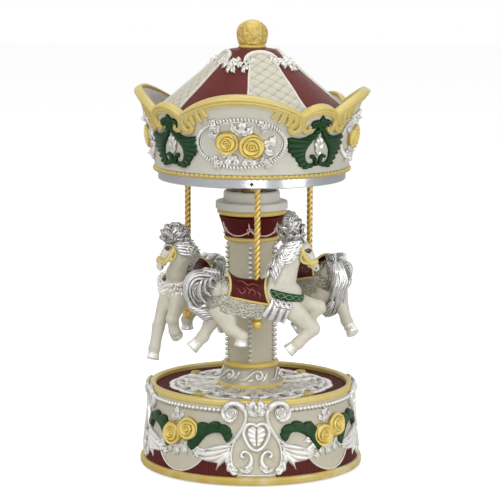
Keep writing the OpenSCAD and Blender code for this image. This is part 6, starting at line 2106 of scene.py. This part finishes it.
@dataclass
class Stage:
    """The pale floor, the soft light and the camera."""

    camera_place: tuple[float, float, float] = (0.0, -1.0523, 0.2545)
    tilt: float = 81.457
    yaw: float = 0.037
    roll: float = 0.20
    lens: float = 171.1
    sheet_grey: float = 0.86
    sheet_glow: float = 0.62
    sky_level: float = 0.38
    lamps: tuple[Lamp, ...] = (
        Lamp("key", (-0.55, -0.8, 0.95), 0.5, 5.0),
        Lamp("fill", (0.9, -0.7, 0.3), 0.6, 3.4),
        Lamp("front", (0.1, -1.2, 0.16), 0.5, 2.2),
        Lamp("top", (0.1, 0.3, 1.1), 0.6, 2.2),
    )

    def floor(self) -> None:
        """Makes the floor: a white sheet that keeps the shadow, and a little extra white for the eye alone."""
        cells, reach, drop = 12, 3, 0.0002
        x = np.linspace(-reach, reach, cells + 1)
        gx, gy = np.meshgrid(x, x)
        points = np.stack([gx, gy, np.full_like(gx, -drop)], axis=-1).reshape(-1, 3)
        i, j = np.meshgrid(np.arange(cells), np.arange(cells), indexing="ij")
        k = (i * (cells + 1) + j).ravel()
        mesh = bpy.data.meshes.new("floor")
        mesh.from_pydata(points.tolist(), [], np.stack([k, k + 1, k + cells + 2, k + cells + 1], axis=1).tolist())
        mat = bpy.data.materials.new("studio_sheet")
        mat.use_nodes = True
        tree = mat.node_tree
        matt = feed(tree, tree.nodes["Principled BSDF"], {"Base Color": (*[self.sheet_grey] * 3, 1), "Roughness": 0.9,
                                                          "Specular IOR Level": 0.1})
        eye = tree.nodes.new("ShaderNodeLightPath").outputs["Is Camera Ray"]
        glow = add_node(tree, "Emission", {"Strength": times(tree, eye, self.sheet_glow)})
        total = add_node(tree, "AddShader", {0: matt.outputs[0], 1: glow.outputs[0]})
        feed(tree, tree.nodes["Material Output"], {"Surface": total.outputs[0]})
        mesh.materials.append(mat)
        sheet = bpy.data.objects.new("floor", mesh)
        bpy.context.scene.collection.objects.link(sheet)

    def sky(self) -> None:
        """Makes the world: white where the eye looks, grey in front for what shines, and a plain level for the rest."""
        world = bpy.data.worlds.new("studio")
        bpy.context.scene.world = world
        world.use_nodes = True
        tree = world.node_tree
        place = tree.nodes.new("ShaderNodeTexCoord").outputs["Generated"]
        split = add_node(tree, "SeparateXYZ", {"Vector": place})
        level = add_node(tree, "MapRange", {"Value": split.outputs["Z"], "From Min": -1.0})
        ramp = add_node(tree, "ValToRGB", {"Fac": level.outputs["Result"]})
        low, high = ramp.color_ramp.elements
        low.position, low.color = 0.18, (0.16, 0.16, 0.17, 1)
        high.position, high.color = 0.62, WHITE
        plain = feed(tree, tree.nodes["Background"], {"Color": WHITE, "Strength": self.sky_level})
        seen = add_node(tree, "Background", {"Color": WHITE})
        shine = add_node(tree, "Background", {"Color": ramp.outputs["Color"]})
        path = tree.nodes.new("ShaderNodeLightPath")
        either = add_node(tree, "Math", {0: path.outputs["Is Glossy Ray"], 1: path.outputs["Is Transmission Ray"]},
                          operation="ADD", use_clamp=True)
        first = add_node(tree, "MixShader", {"Fac": either.outputs[0], 1: plain.outputs[0], 2: shine.outputs[0]})
        last = add_node(tree, "MixShader", {"Fac": path.outputs["Is Camera Ray"], 1: first.outputs[0],
                                            2: seen.outputs[0]})
        feed(tree, tree.nodes["World Output"], {"Surface": last.outputs[0]})

    def camera(self) -> None:
        """Makes the camera at the viewing angle."""
        lens = bpy.data.cameras.new("camera")
        lens.lens, lens.sensor_width, lens.clip_start = self.lens, 36.0, 0.05
        eye = bpy.data.objects.new("camera", lens)
        turn = (Matrix.Rotation(math.radians(self.yaw), 4, "Z") @ Matrix.Rotation(math.radians(self.tilt), 4, "X") @
                Matrix.Rotation(math.radians(self.roll), 4, "Z"))
        eye.matrix_world = Matrix.Translation(self.camera_place) @ turn
        bpy.context.scene.collection.objects.link(eye)
        bpy.context.scene.camera = eye

    def build(self) -> None:
        """Makes the stage."""
        bpy.context.scene.view_settings.view_transform = "Standard"
        self.camera()
        self.floor()
        self.sky()
        for lamp in self.lamps:
            lamp.build()


def main() -> None:
    """Builds the dressed music box in order."""
    logging.basicConfig(level=logging.INFO, format="%(message)s")
    Stage().build()
    paint_frame()
    Base().build()
    Column().build()
    Canopy().build()
    tuck, push = HIND_TUCK_OUT, HIND_PUSH_IN
    push_out = tuple((x, -y, z) for x, y, z in push)
    tuck_in = tuple((x, -y, z) for x, y, z in tuck)
    Horse(1, 4.5, SEAT_Z + 0.495, FORE_BENT_OUT, FORE_BENT_IN, tuck, push, Chest.BAND, 11).build()
    Horse(2, -115.5, SEAT_Z - 2.81, FORE_LONG_OUT, FORE_SHORT_IN, tuck, push, Chest.GARLAND, 12,
          plume=((18.8, 0.0, 18.6), (4.9, 5.2, 4.0)), head_turn=-62.0, head_shift=(-2.6, 2.2), chest_lift=2.4).build()
    Horse(3, 124.5, SEAT_Z + 2.315, FORE_BENT_OUT, FORE_BENT_IN, push_out, tuck_in, Chest.BAND, 13,
          plume=((14.6, 0.0, 15.6), (4.4, 4.2, 3.6)), head_shift=(0.0, 3.0), tail_hang=0.85).build()


if __name__ == "__main__":
    main()
